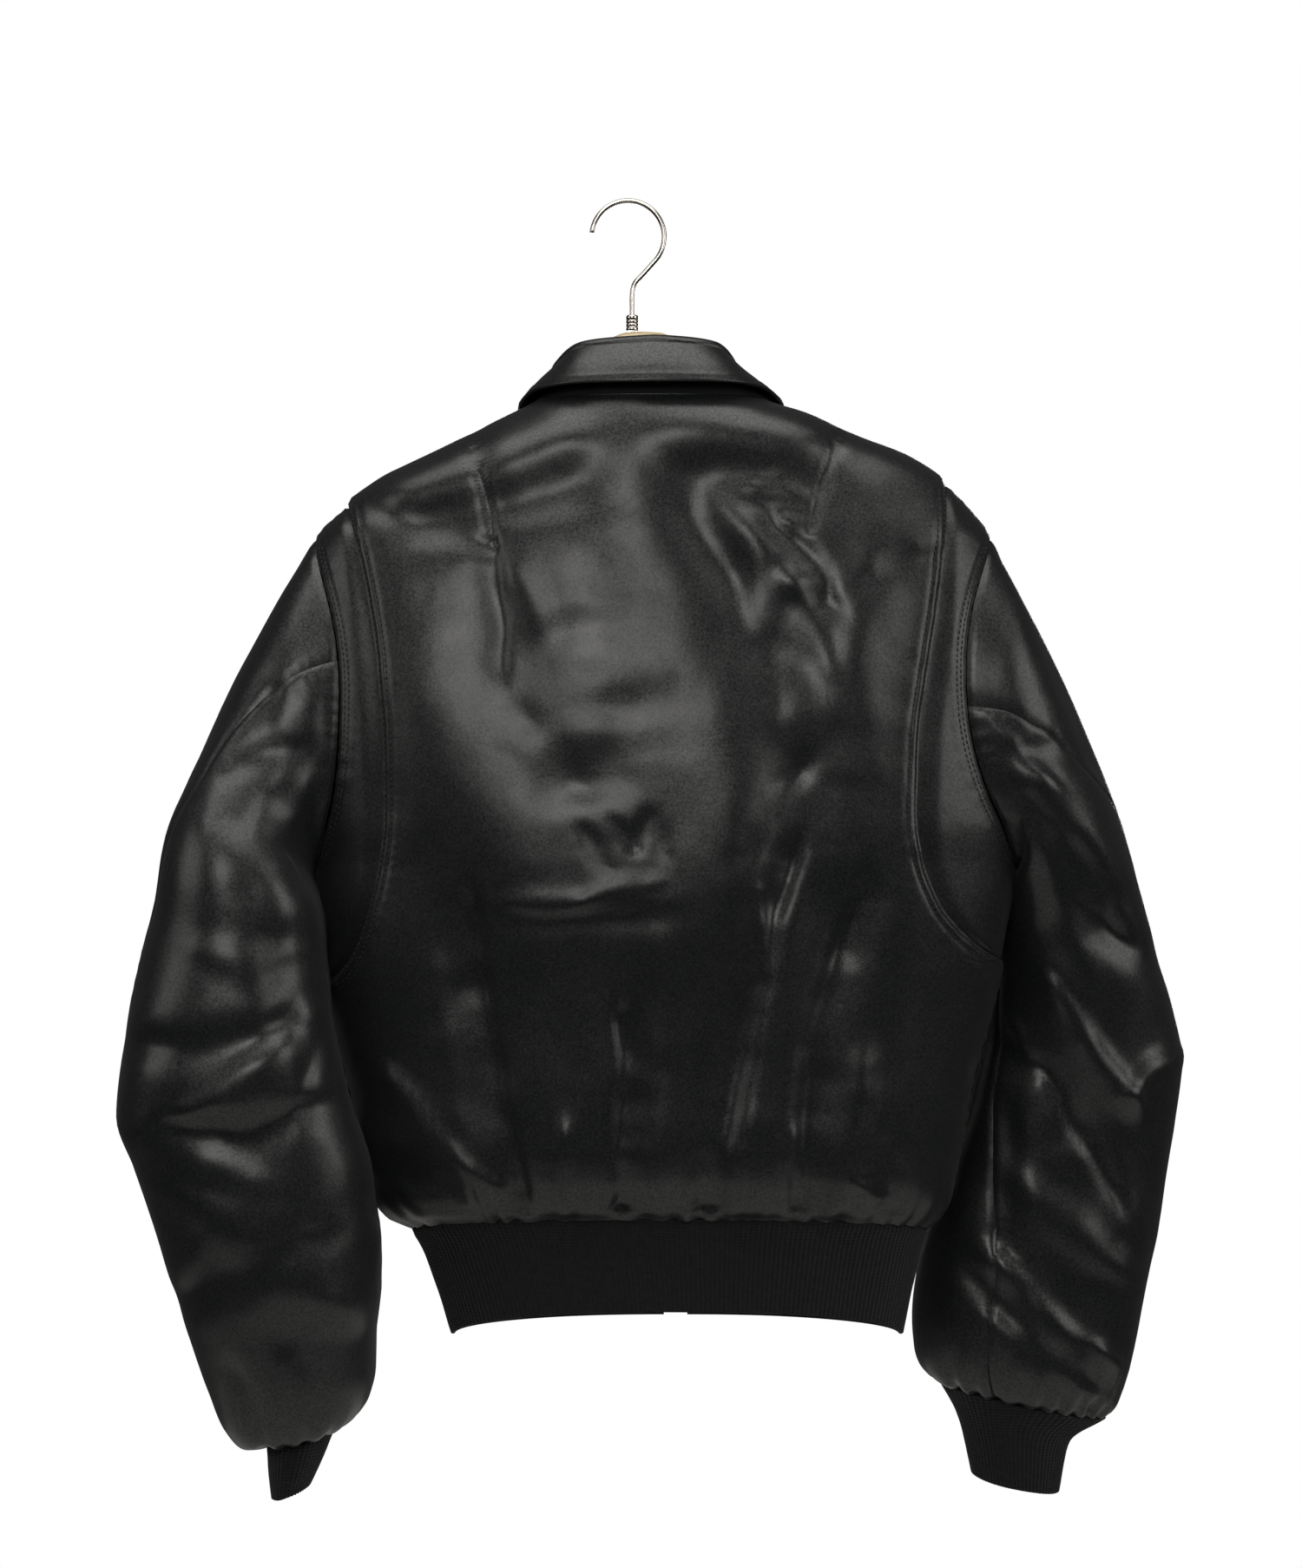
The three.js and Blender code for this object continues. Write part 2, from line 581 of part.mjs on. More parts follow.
function sleevePanel(arm, fromSeam, toSeam, columns) {
  const surface = (turn, ring) => sleeve(arm, turn, ring);
  const outer = [];
  const inner = [];
  for (const ring of steps(0, SLEEVE_END, SLEEVE_END)) {
    const turns = steps(fromSeam(ring), toSeam(ring), columns);
    const normals = turns.map((turn) => (
      ring === 0 ? armholeNormal(arm, turn) : tubeNormal(surface, turn, ring, SLEEVE_END)));
    const tops = turns.map((turn, i) => {
      const base = surface(turn, ring);
      return base.addScaledVector(normals[i], sleeveRelief(arm, base, turn, ring));
    });
    outer.push(tops);
    inner.push(tops.map((top, i) => top.clone().addScaledVector(normals[i], -CLOTH_WALL)));
  }
  drawIn(outer, inner, ['first', 'last', 'top', 'bottom']);
  return wall(outer, inner, false);
}

// A ribbed band from matching bases and normals: every other column of the outside stands out
const RIB_RISE = 0.45;
function ribWall(bases, normals, borders, closed) {
  const outer = bases.map((row, r) => row.map((base, c) => (
    base.clone().addScaledVector(normals[r][c], c % 2 ? RIB_RISE : 0))));
  const inner = bases.map((row, r) => row.map((base, c) => (
    base.clone().addScaledVector(normals[r][c], -RIB_WALL))));
  drawIn(outer, inner, borders);
  return wall(outer, inner, closed);
}

function hemBand() {
  const rows = [HEM_SEAM, 702, HEM_BOTTOM];
  const columns = 120;
  const end = (side, down) => 180 - angleAt(FRONT_EDGE, halfWidth(side, down));
  const angles = (down) => steps(-end(-1, down), end(1, down), columns);
  const bases = rows.map((down) => angles(down).map((angle) => torso(angle, down)));
  const normals = rows.map((down) => angles(down).map((angle) => (
    torsoNormal(angle, Math.max(down, HEM_SEAM + 4)))));
  return ribWall(bases, normals, ['top'], false);
}

function cuff(arm) {
  const turns = steps(0, 360, 40).slice(0, -1);
  const surface = (turn, ring) => armRing(arm.cuff, turn, ring);
  const bases = [0, 1, 2].map((ring) => turns.map((turn) => surface(turn, ring)));
  const normals = [0, 1, 2].map((ring) => turns.map((turn) => tubeNormal(surface, turn, ring, 2)));
  return ribWall(bases, normals, ['top'], true);
}

// Collar: the middle of its wall, from the neck seam over the fold to the leaf's edge
function collarSection(angle) {
  const side = Math.sign(angle) || 1;
  const size = Math.abs(angle);
  const seam = torso(angle, NECK);
  const out = torso(angle + 1, NECK).sub(torso(angle - 1, NECK)).cross(new THREE.Vector3(0, 0, 1));
  out.setZ(0).normalize();
  const fold = seam.clone().addScaledVector(out, COLLAR.foldOut(size)).setZ(COLLAR.foldZ(size));
  const edge = torso(side * COLLAR.edgeAngle(size), COLLAR.edgeDown(size));
  edge.addScaledVector(out, COLLAR.edgeOut(size));
  edge.z += COLLAR.edgeUp(size);
  if (side > 0) {
    const lean = Math.sin(size * DEGREES);
    fold.x -= COLLAR_LEAN.fold * lean;
    edge.x -= COLLAR_LEAN.edge * lean;
    edge.z += COLLAR_LEAN.lift * lean;
  }
  seam.addScaledVector(out, -COLLAR_WALL / 2);
  seam.z += SEAM_GAP;
  const roll = steps(180, -10, 5).map((turn) => (
    fold.clone().addScaledVector(out, COLLAR_ROLL * Math.cos(turn * DEGREES))
      .setZ(fold.z + COLLAR_ROLL * Math.sin(turn * DEGREES))));
  const stand = [0, 0.5].map((share) => seam.clone().lerp(roll[0], share));
  const leaf = [0.34, 0.67, 1].map((share) => (
    roll[5].clone().lerp(edge, share).addScaledVector(out, 1.5 * Math.sin(share * Math.PI))));
  return [...stand, ...roll, ...leaf];
}

function collar() {
  const angles = steps(-COLLAR_END, COLLAR_END, 28);
  const sections = angles.map(collarSection);
  const last = sections[0].length - 1;
  const normalAt = (i, j) => {
    const before = sections[Math.max(i - 1, 0)][j];
    const after = sections[Math.min(i + 1, angles.length - 1)][j];
    const across = after.clone().sub(before);
    const along = sections[i][Math.min(j + 1, last)].clone().sub(sections[i][Math.max(j - 1, 0)]);
    return across.cross(along).normalize();
  };
  const offset = (amount) => sections.map((section, i) => (
    section.map((point, j) => point.clone().addScaledVector(normalAt(i, j), amount))));
  return wall(offset(COLLAR_WALL / 2), offset(-COLLAR_WALL / 2), false);
}

// Zip

function frontLine(down) {
  return { point: torso(180, down), normal: torsoNormal(180, down) };
}

function zipStrip() {
  const profile = rowsOf(['across', 'rise'], [
    [-ZIP.halfTape, 0], [-ZIP.chainFoot, 0], [-ZIP.halfChain, ZIP.chainRise],
    [ZIP.halfChain, ZIP.chainRise], [ZIP.chainFoot, 0], [ZIP.halfTape, 0],
  ]);
  const outer = [];
  const inner = [];
  for (const down of ZIP_ROWS) {
    const { point, normal } = frontLine(down);
    const place = ({ across, rise }) => {
      const moved = point.clone().addScaledVector(normal, rise);
      moved.x += across;
      return moved;
    };
    outer.push(profile.map(place));
    inner.push(profile.map(({ across }) => place({ across, rise: -ZIP.tape })));
  }
  return wall(outer, inner, false);
}

// Joining and cutting

function solidOf(geometry) {
  const bare = geometry.clone();
  bare.deleteAttribute('normal');
  bare.deleteAttribute('uv');
  const merged = mergeVertices(bare, 1e-4);
  return new wasm.Manifold(new wasm.Mesh({
    numProp: 3,
    vertProperties: Float32Array.from(merged.attributes.position.array),
    triVerts: Uint32Array.from(merged.index.array),
  }));
}

function geometryOf(solid) {
  const mesh = solid.getMesh();
  const geometry = new THREE.BufferGeometry();
  geometry.setAttribute('position', new THREE.BufferAttribute(Float32Array.from(mesh.vertProperties), 3));
  geometry.setIndex(new THREE.BufferAttribute(Uint32Array.from(mesh.triVerts), 1));
  geometry.computeVertexNormals();
  return geometry;
}

function box(sizeX, sizeY, sizeZ, x, y, z) {
  return solidOf(new THREE.BoxGeometry(sizeX, sizeY, sizeZ).translate(x, y, z));
}

function rod(radius, length, sides) {
  return solidOf(new THREE.CylinderGeometry(radius, radius, length, sides).rotateZ(Math.PI / 2));
}

// The slider's own frame: its plate's back face is at Y = 0, its pin along X
function zipSlider() {
  const earHeight = PULL.standoff + SLIDER.earPast - SLIDER.plate + SLIDER.root;
  const earX = SLIDER.earGap + SLIDER.ear / 2;
  let body = box(2 * SLIDER.halfWidth, SLIDER.plate, 2 * SLIDER.halfLength, 0, SLIDER.plate / 2, 0);
  for (const side of [-1, 1]) {
    body = body.add(box(SLIDER.ear, earHeight, 2 * SLIDER.halfEar,
      side * earX, SLIDER.plate - SLIDER.root + earHeight / 2, 0));
  }
  const pin = rod(PULL.pin, 2 * earX, 12).translate([0, PULL.standoff, 0]);
  return geometryOf(body.add(pin));
}

// The pull tab's own frame: its pin's axis is the X axis, and it hangs down
function zipPull() {
  const half = PULL.halfWidth;
  const outline = new THREE.Shape();
  outline.moveTo(-PULL.halfKnuckle, 0);
  outline.lineTo(-PULL.halfKnuckle, -PULL.neck);
  outline.lineTo(-half, -PULL.shoulder);
  outline.lineTo(-half, -PULL.length + half);
  outline.absarc(0, -PULL.length + half, half, Math.PI, 2 * Math.PI, false);
  outline.lineTo(half, -PULL.shoulder);
  outline.lineTo(PULL.halfKnuckle, -PULL.neck);
  outline.lineTo(PULL.halfKnuckle, 0);
  const hole = new THREE.Path();
  hole.absarc(0, -PULL.length + PULL.holeUp, PULL.holeRadius, 0, 2 * Math.PI, false);
  outline.holes.push(hole);
  const shape = { depth: PULL.thickness, bevelEnabled: false, curveSegments: 8 };
  const flat = new THREE.ExtrudeGeometry(outline, shape);
  flat.rotateX(Math.PI / 2).translate(0, PULL.thickness / 2, 0);
  const knuckle = rod(PULL.knuckle, 2 * PULL.halfKnuckle, 14);
  const bore = rod(PULL.bore, 2 * PULL.halfKnuckle + 2, 14);
  return geometryOf(solidOf(flat).add(knuckle).subtract(bore));
}

// Hanger

function hookGeometry() {
  const centreZ = HOOK.wire - HOOK.radius;
  const ring = steps(HOOK.tip, HOOK.end, 16).map((turn) => new THREE.Vector3(
    HOOK.centreX + HOOK.radius * Math.cos(turn * DEGREES), 0,
    centreZ + HOOK.radius * Math.sin(turn * DEGREES)));
  const neck = HOOK_NECK.map(({ x, z }) => new THREE.Vector3(x, 0, z));
  const path = new THREE.CatmullRomCurve3([...ring, ...neck]);
  const section = new THREE.Shape().absarc(0, 0, HOOK.wire, 0, 2 * Math.PI, false);
  return new THREE.ExtrudeGeometry(section, { steps: 32, extrudePath: path, curveSegments: 4 });
}

function ferruleGeometry() {
  const profile = [
    [FERRULE.bore, HOOK.foot], [FERRULE.radius, HOOK.foot], [FERRULE.radius, FERRULE.top - FERRULE.bevel],
    [FERRULE.radius - FERRULE.bevel, FERRULE.top], [FERRULE.bore, FERRULE.top], [FERRULE.bore, HOOK.foot],
  ].map(([radius, z]) => new THREE.Vector2(radius, z));
  return new THREE.LatheGeometry(profile, 16).rotateX(Math.PI / 2).translate(HOOK.shaftX, 0, 0);
}

// Height of the shoulder's inside over the hanger at x, found on the torso's side edge
function shoulderInside(x) {
  const side = x < 0 ? TORSO.left : TORSO.right;
  let level = NECK;
  while (level < SHOULDER_TIP && Math.abs(side(level)) < Math.abs(x)) level += 0.25;
  const slope = Math.abs(4 / (side(level + 2) - side(level - 2)));
  return -level - (CLOTH_WALL + HANGER_SEAT) * Math.hypot(1, slope);
}

function hangerTop(x) {
  return x < HANGER.neckLeft || x > HANGER.neckRight ? shoulderInside(x) : HANGER_NECK.top(x);
}

function hangerBody() {
  const sides = 10;
  const rings = steps(HANGER.left, HANGER.right, 28).map((x) => {
    const { halfThick, halfHigh } = HANGER_SECTION;
    const high = halfHigh(x);
    return steps(0, 360, sides).slice(0, -1).map((turn) => new THREE.Vector3(
      x, halfThick(x) * Math.cos(turn * DEGREES), hangerTop(x) - high + high * Math.sin(turn * DEGREES)));
  });
  const points = rings.flat();
  const index = [];
  for (let ring = 0; ring < rings.length - 1; ring += 1) {
    for (let side = 0; side < sides; side += 1) {
      const next = (side + 1) % sides;
      const [a, b] = [ring * sides + side, ring * sides + next];
      index.push(a, b, b + sides, a, b + sides, a + sides);
    }
  }
  const last = (rings.length - 1) * sides;
  for (let side = 1; side < sides - 1; side += 1) {
    index.push(0, side + 1, side, last, last + side, last + side + 1);
  }
  return facingOut(points, index);
}

// Assembly

function piece(name, geometry, material) {
  const mesh = new THREE.Mesh(geometry, material);
  mesh.name = name;
  return mesh;
}

const jacket = new THREE.Group();
jacket.add(piece('back_panel', backPanel(), MATERIALS.satin));
for (const [name, arm] of Object.entries(ARMS)) {
  const { elbow, underarm } = arm.seams;
  const upperEnd = (ring) => 360 + elbow(ring);
  jacket.add(piece(`gusset_${name}`, gusset(arm.side), MATERIALS.satin));
  jacket.add(piece(`front_${name}`, frontPanel(arm.side), MATERIALS.satin));
  jacket.add(piece(`sleeve_under_${name}`, sleevePanel(arm, elbow, underarm, 8), MATERIALS.satin));
  jacket.add(piece(`sleeve_upper_${name}`, sleevePanel(arm, underarm, upperEnd, 9), MATERIALS.satin));
  jacket.add(piece(`cuff_${name}`, cuff(arm), MATERIALS.rib));
}
jacket.add(piece('collar', collar(), MATERIALS.satin));
jacket.add(piece('hem_band', hemBand(), MATERIALS.rib));
jacket.add(piece('zip', zipStrip(), MATERIALS.zip));

const closure = new THREE.Group();
const top = frontLine(ZIP.level);
closure.position.copy(top.point).addScaledVector(top.normal, ZIP.chainRise + CLEARANCE);
closure.rotation.x = Math.atan2(top.normal.z, top.normal.y);
closure.add(piece('zip_slider', zipSlider(), MATERIALS.zip));
const pull = piece('zip_pull', zipPull(), MATERIALS.zip);
pull.position.y = PULL.standoff;
pull.rotation.x = -closure.rotation.x;
closure.add(pull);
jacket.add(closure);

jacket.add(piece('hanger_hook', hookGeometry(), MATERIALS.steel));
jacket.add(piece('hanger_ferrule', ferruleGeometry(), MATERIALS.steel));
jacket.add(piece('hanger_body', hangerBody(), MATERIALS.wood));

export default jacket;
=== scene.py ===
# Satin flight jacket on a coat hanger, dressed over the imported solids.
# Tables are in millimetres in the part's frame, with the back at -Y; meshes are written in metres.
import math

import bpy
import numpy as np
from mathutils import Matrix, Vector

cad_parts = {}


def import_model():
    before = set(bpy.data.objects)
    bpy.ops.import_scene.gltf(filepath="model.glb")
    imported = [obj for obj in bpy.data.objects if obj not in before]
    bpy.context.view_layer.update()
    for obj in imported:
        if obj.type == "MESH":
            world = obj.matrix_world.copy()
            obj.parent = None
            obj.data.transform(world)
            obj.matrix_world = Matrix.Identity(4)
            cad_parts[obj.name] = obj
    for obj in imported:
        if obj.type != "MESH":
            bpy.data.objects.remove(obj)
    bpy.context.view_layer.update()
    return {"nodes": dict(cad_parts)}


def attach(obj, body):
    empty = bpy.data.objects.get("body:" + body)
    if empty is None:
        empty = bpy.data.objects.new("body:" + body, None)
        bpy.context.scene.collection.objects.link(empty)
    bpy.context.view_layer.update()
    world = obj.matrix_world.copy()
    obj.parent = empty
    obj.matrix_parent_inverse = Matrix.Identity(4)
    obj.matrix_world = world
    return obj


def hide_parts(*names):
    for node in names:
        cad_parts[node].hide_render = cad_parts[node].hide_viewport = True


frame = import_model()

MM = 0.001

# Wall thicknesses and levels, the same as the part's
CLOTH_WALL = 2.0
RIB_WALL = 3.0
COLLAR_WALL = 2.4
NECK = 130
SHOULDER_TIP = 219
ARMPIT = 430
HEM_SEAM = 668
HEM_BOTTOM = 736
SQUARENESS = 2.3
ARMHOLE_OPENING = 35
ARMHOLE_BLEND = 3
SLEEVE_END = 17
LEVEL_STEP = 1.5         # half the step, in levels and in rings, over which a normal is taken
RING_STEP = 0.2

# How finely the pieces are cut, in rows and columns of the mesh
BACK_CORE = 40.0         # degrees of the back, each way, whose columns keep their place on every row
BACK_CORE_COLUMNS = 116
BACK_SIDE_COLUMNS = 22
FRONT_COLUMNS = 64
GUSSET_COLUMNS = 26
SHOULDER_ROWS = 38
HOLE_TURNS = np.concatenate([[0], np.linspace(6, 174, 74), [180]])    # rows round the armhole
BODY_ROWS = 100
SLEEVE_COLUMNS = 74
SLEEVE_NEAR_ROWS = 44
SLEEVE_FAR_ROWS = 125
COLLAR_COLUMNS = 190
HEM_ROWS = np.concatenate([np.linspace(HEM_SEAM, HEM_BOTTOM - 2, 17), [HEM_BOTTOM - 0.8, HEM_BOTTOM]])
CUFF_RINGS = np.concatenate([np.linspace(0, 1.93, 15), [1.98, 2.0]])
RIB_PITCH = 3.1          # width of one knitted rib and its furrow
POINTS_A_RIB = 4


def rows_of(columns, rows):
    return [dict(zip(columns, row)) for row in rows]


def curve_through(at, value):
    """A smooth curve through the values that never overshoots them and is held past both ends."""
    at = np.array(at, float)
    value = np.array(value, float)
    step = np.diff(at)
    slope = np.diff(value) / step
    tangent = np.concatenate(([slope[0]], np.zeros(len(at) - 2), [slope[-1]]))
    for i in range(1, len(at) - 1):
        if slope[i - 1] * slope[i] > 0:
            near = 2 * step[i] + step[i - 1]
            far = step[i] + 2 * step[i - 1]
            tangent[i] = (near + far) / (near / slope[i - 1] + far / slope[i])

    def curve(wanted):
        here = np.clip(wanted, at[0], at[-1])
        i = np.clip(np.searchsorted(at, here, side="right") - 1, 0, len(step) - 1)
        s = (here - at[i]) / step[i]
        pull = s * (1 - s) * step[i]
        rise = (value[i + 1] - value[i]) * s * s * (3 - 2 * s)
        return value[i] + rise + pull * ((1 - s) * tangent[i] - s * tangent[i + 1])

    return curve


def curves(columns, rows):
    """One curve for each column after the first, which holds the place along the curve."""
    table = np.array(rows, float)
    return {name: curve_through(table[:, 0], table[:, i + 1]) for i, name in enumerate(columns[1:])}


# Torso rings: side edges as x, depths from the side plane, rise at the centre back, drop at the front
TORSO = curves(["down", "left", "right", "back", "front", "backRise", "frontDrop"], [
    [130, -59, 94, 50, 62, 0, 55],
    [150, -96, 145, 57, 66, 0, 48],
    [167, -131, 183, 61, 68, 0, 42],
    [184, -161, 208, 64, 69, 0, 36],
    [201, -184, 225, 66, 70, 0, 31],
    [219, -202, 238, 69, 71, 0, 26],
    [260, -214, 247, 74, 73, 0, 17],
    [330, -220, 256, 81, 77, 0, 6],
    [400, -208, 258, 86, 80, 0, 0],
    [430, -199, 252, 87, 81, 0, 0],
    [500, -194, 243, 88, 82, 0, 0],
    [545, -189, 236, 89, 83, 1, 0],
    [572, -183, 229, 89, 83, 2, 0],
    [609, -173, 221, 88, 83, 5, 0],
    [632, -166, 216, 84, 81, 7, 0],
    [648, -164, 212, 78, 76, 10, 0],
    [660, -155, 205, 71, 70, 12, 0],
    [668, -140, 197, 65, 64, 14, 0],
    [702, -124, 187, 60, 60, 19, -2],
    [736, -113, 180, 58, 58, 23, -4],
])
MIDDLE = curves(["down", "x"], [[130, 19], [260, 18], [430, 24], [668, 30], [736, 33]])

# Folded edges of the centre back panel
BACK_EDGE = {
    -1: curves(["down", "x"], [
        [195, -180], [206, -176], [225, -171], [261, -163], [306, -156], [355, -153], [400, -153],
        [433, -156], [463, -163], [484, -171], [500, -183], [509, -193],
    ]),
    1: curves(["down", "x"], [
        [180, 206], [195, 205], [216, 204], [267, 199], [306, 193], [346, 187], [375, 185], [398, 184],
        [423, 187], [453, 198], [473, 215], [486, 232], [493, 245],
    ]),
}
BACK_EDGE_SPAN = {-1: (195, 509), 1: (180, 493)}
EDGE_LIFT = CLOTH_WALL + 0.9
EDGE_FLAT = 9
EDGE_RAMP = 66
GUSSET_TUCK = 11
GUSSET_SINK = 2.3
GUSSET_RAMP = 6
GUSSET_PAST = 1.5        # how far the gusset runs on under the back at its lower end

# Sleeve rings: outer and inner edge as seen from the back, the middle's depth and the half depth
RING_COLUMNS = ["ring", "outerX", "outerZ", "innerX", "innerZ", "middleY", "halfDepth"]
SLEEVE_LEFT = curves(RING_COLUMNS, [
    [0, -202, -219, -199, -430, 0, 50],
    [1, -219, -249, -204, -434, -3, 54],
    [2, -245, -298, -205, -440, -7, 58],
    [3, -268, -345, -202.5, -447, -16, 61],
    [4, -287, -398, -198, -457, -31, 62],
    [5, -298, -450, -193, -476, -43, 61],
    [6, -308, -491, -190, -504, -50, 60],
    [7, -317, -535, -184, -537, -53, 59],
    [8, -322, -580, -176, -572, -55, 58],
    [9, -311, -618, -168, -604, -53, 57],
    [10, -302, -647, -160, -636, -50, 57],
    [11, -294, -673, -156, -668, -46, 57],
    [12, -286, -701, -156, -699, -41, 57],
    [13, -278, -731, -159, -728, -34, 57],
    [14, -268, -762, -160, -753, -30, 56],
    [15, -257, -790, -165, -772, -27, 52],
    [16, -244, -802, -174, -784, -25, 46],
    [17, -231, -802, -186, -791, -24, 38],
])
SLEEVE_RIGHT = curves(RING_COLUMNS, [
    [0, 238, -219, 252, -430, 0, 50],
    [1, 252, -249, 262, -433, 0, 53],
    [2, 276, -295, 259, -437, 4, 56],
    [3, 299, -342, 254, -444, 14, 60],
    [4, 321, -393, 250, -455, 27, 61],
    [5, 338, -445, 245, -472, 38, 61],
    [6, 352, -491, 243, -497, 45, 61],
    [7, 363, -528, 238, -526, 50, 60],
    [8, 369, -563, 231, -561, 53, 59],
    [9, 365, -601, 222, -596, 54, 58],
    [10, 359, -639, 212, -631, 54, 57],
    [11, 353, -677, 202, -667, 52, 57],
    [12, 346, -711, 194, -700, 52, 57],
    [13, 340, -744, 191, -730, 52, 56],
    [14, 335, -766, 193, -752, 52, 54],
    [15, 330, -781, 197, -764, 52, 51],
    [16, 326, -791, 202, -770, 52, 47],
    [17, 320, -798, 208, -775, 52, 43],
])
SEAMS_LEFT = curves(["ring", "elbow", "underarm"], [
    [0, 76, 180], [1, 70, 180], [2, 57, 180], [4, 34, 180], [6, 8, 182],
    [9, -16, 184], [13, -26, 186], [17, -30, 186],
])
SEAMS_RIGHT = curves(["ring", "elbow", "underarm"], [
    [0, 92, 180], [1.5, 81, 179], [2.6, 60, 176], [3.4, 40, 174], [4.2, 10, 171], [6, -20, 160],
    [8, -34, 146], [10, -40, 126], [12, -44, 110], [17, -46, 110],
])
CUFF_LEFT = curves(RING_COLUMNS, [
    [0, -230, -802.3, -187, -791.5, -24, 37],
    [1, -229, -819, -194, -809, -24, 36],
    [2, -227, -835, -202, -827, -24, 34],
])
CUFF_RIGHT = curves(RING_COLUMNS, [
    [0, 319, -798.4, 209, -775.6, 52, 42],
    [1, 295, -814, 221, -799, 52, 36],
    [2, 288, -848, 230, -837, 52, 31],
])

# Folds: from x and z to x and z, bow, height, width, skew. A ridge (height above 0) or trough along the
# line, bowed sideways at its middle. skew makes one flank steeper: above 0 it is the flank to the right
# of the line as seen from its first end.
BACK_FOLDS = [
    [-99, -157, -82, -229, 2, -2.2, 2.2, 0.5],
    [-92, -160, -76, -232, 2, -1.2, 8, 0],
    [-84, -228, -77, -300, 2, -2.6, 9, 0.5],
    [138, -152, 118, -216, -2, -1.9, 2.2, -0.5],
    [132, -160, 112, -214, -2, -1.2, 8, 0],
    [53, -206, 94, -341, 6, -3.2, 20, 0.3],
    [-30, -260, -10, -420, 8, 3.0, 34, 0],
    [140, -300, 132, -420, 0, 3.0, 22, 0],
    [-95, -461, -65, -633, -5, -5.5, 12, 0.4],
    [-118, -500, -96, -628, -3, 1.8, 12, 0],
    [-3, -526, -5, -652, 3, -5.0, 9, -0.5],
    [24, -480, 18, -645, 0, 1.8, 12, 0.2],
    [104, -430, 55, -644, -6, -6.0, 13, 0.4],
    [84, -520, 78, -640, 0, 1.6, 11, 0],
    [147, -452, 111, -636, -8, -6.0, 12, -0.4],
    [150, -560, 136, -640, 0, 3.2, 11, 0],
    [-145, -566, -88, -628, -3, 3.5, 9, 0.4],
    [-132, -628, -100, -652, 0, -3.5, 8, 0],
    [-36, -600, -38, -650, 0, 3.0, 9, 0],
    [168, -600, 172, -648, 0, -3.5, 9, 0],
    [86, -446, 90, -494, 0, 2.4, 4, 0.5],
    [108, -600, 111, -634, 0, 2.4, 5, 0.4],
    [148, -632, 160, -640, 0, 2.2, 5, 0],
    [-151, -632, -124, -656, 0, 2.0, 6, 0],
    [-6, -402, 6, -418, 1, -1.3, 4, 0.3],
    [8, -416, 16, -398, 1, -1.1, 4, 0],
    [16, -400, 24, -420, 1, -1.3, 5, 0.3],
    [-24, -410, -10, -430, -1, -1.0, 6, 0],
    [-66, -453, -30, -455, -2, 1.2, 7, -0.3],
    [-24, -452, 18, -440, 3, 1.3, 6, -0.3],
    [74, -420, 110, -372, 4, -2.6, 10, 0],
    [96, -214, 130, -262, 4, -2.8, 9, 0.3],
    [84, -190, 112, -196, 2, 1.8, 8, 0],
    [-146, -205, -92, -226, 4, -2.6, 12, 0],
    [160, -250, 190, -236, 3, -2.0, 10, 0],
    [-60, -340, -34, -372, 3, -1.8, 12, 0],
    [110, -258, 126, -300, 0, 2.0, 10, 0.3],
]
# Soft hollows and crowns: x and z, half widths across and down, turn in degrees, height
BACK_DENTS = [
    [12, -196, 18, 26, 0, 1.2],
    [140, -470, 28, 40, 0, -1.8],
    [50, -560, 14, 40, 10, 1.2],
    [-50, -560, 14, 44, -6, 1.2],
    [178, -540, 14, 40, 0, 2.0],
]
# Places where the cloth leans out towards its upper side (rise above 0) and in below it: x and z, half
# widths across and down, turn in degrees, rise
BACK_TILTS = [
    [-57, -180, 41, 23, 20, 10.0],
    [-124, -200, 30, 20, 20, 7.5],
    [72, -170, 58, 25, -2, 10.5],
    [64, -222, 34, 19, -50, 6.6],
    [78, -262, 26, 12, -80, 2.6],
    [111, -257, 15, 13, 0, 5.0],
    [-68, -264, 28, 13, -66, 4.6],
    [92, -197, 22, 8, -4, 1.6],
    [-33, -360, 30, 23, 20, 4.8],
    [10, -322, 38, 26, 20, 1.5],
    [-118, -398, 100, 46, -62, 10.0],
    [96, -390, 110, 54, 88, 12.0],
    [108, -312, 26, 30, 0, -5.0],
    [166, -300, 60, 24, 84, 5.0],
    [-22, -457, 52, 10, 2, 2.6],
]
FRONT_FOLDS = [
    [-60, -300, -95, -430, 4, -3.5, 18, 0.3],
    [100, -300, 136, -430, -4, -3.5, 18, -0.3],
    [-120, -470, -84, -632, -5, -5.0, 13, 0.4],
    [156, -470, 120, -632, 5, -5.0, 13, -0.4],
    [-40, -540, -30, -640, 2, -4.5, 10, 0.4],
    [78, -540, 68, -640, -2, -4.5, 10, -0.4],
    [-62, -560, -58, -640, 0, 3.0, 10, 0],
    [98, -560, 94, -640, 0, 3.0, 10, 0],
    [-128, -600, -116, -648, 0, 3.0, 10, 0],
    [170, -600, 160, -648, 0, 3.0, 10, 0],
    [-150, -250, -96, -300, 6, -2.6, 12, 0.3],
    [190, -250, 140, -300, -6, -2.6, 12, -0.3],
    [-80, -228, -44, -262, 3, 2.2, 12, 0],
    [118, -228, 86, -262, -3, 2.2, 12, 0],
    [-150, -440, -70, -462, 5, -2.2, 12, 0],
    [186, -440, 106, -462, -5, -2.2, 12, 0],
]
FRONT_DENTS = [
    [-90, -380, 34, 60, 0, 2.0],
    [128, -380, 34, 60, 0, 2.0],
    [-60, -205, 40, 16, 20, -2.4],
    [98, -205, 40, 16, -20, -2.4],
    [-90, -560, 16, 44, 0, 2.2],
    [128, -560, 16, 44, 0, 2.2],
]
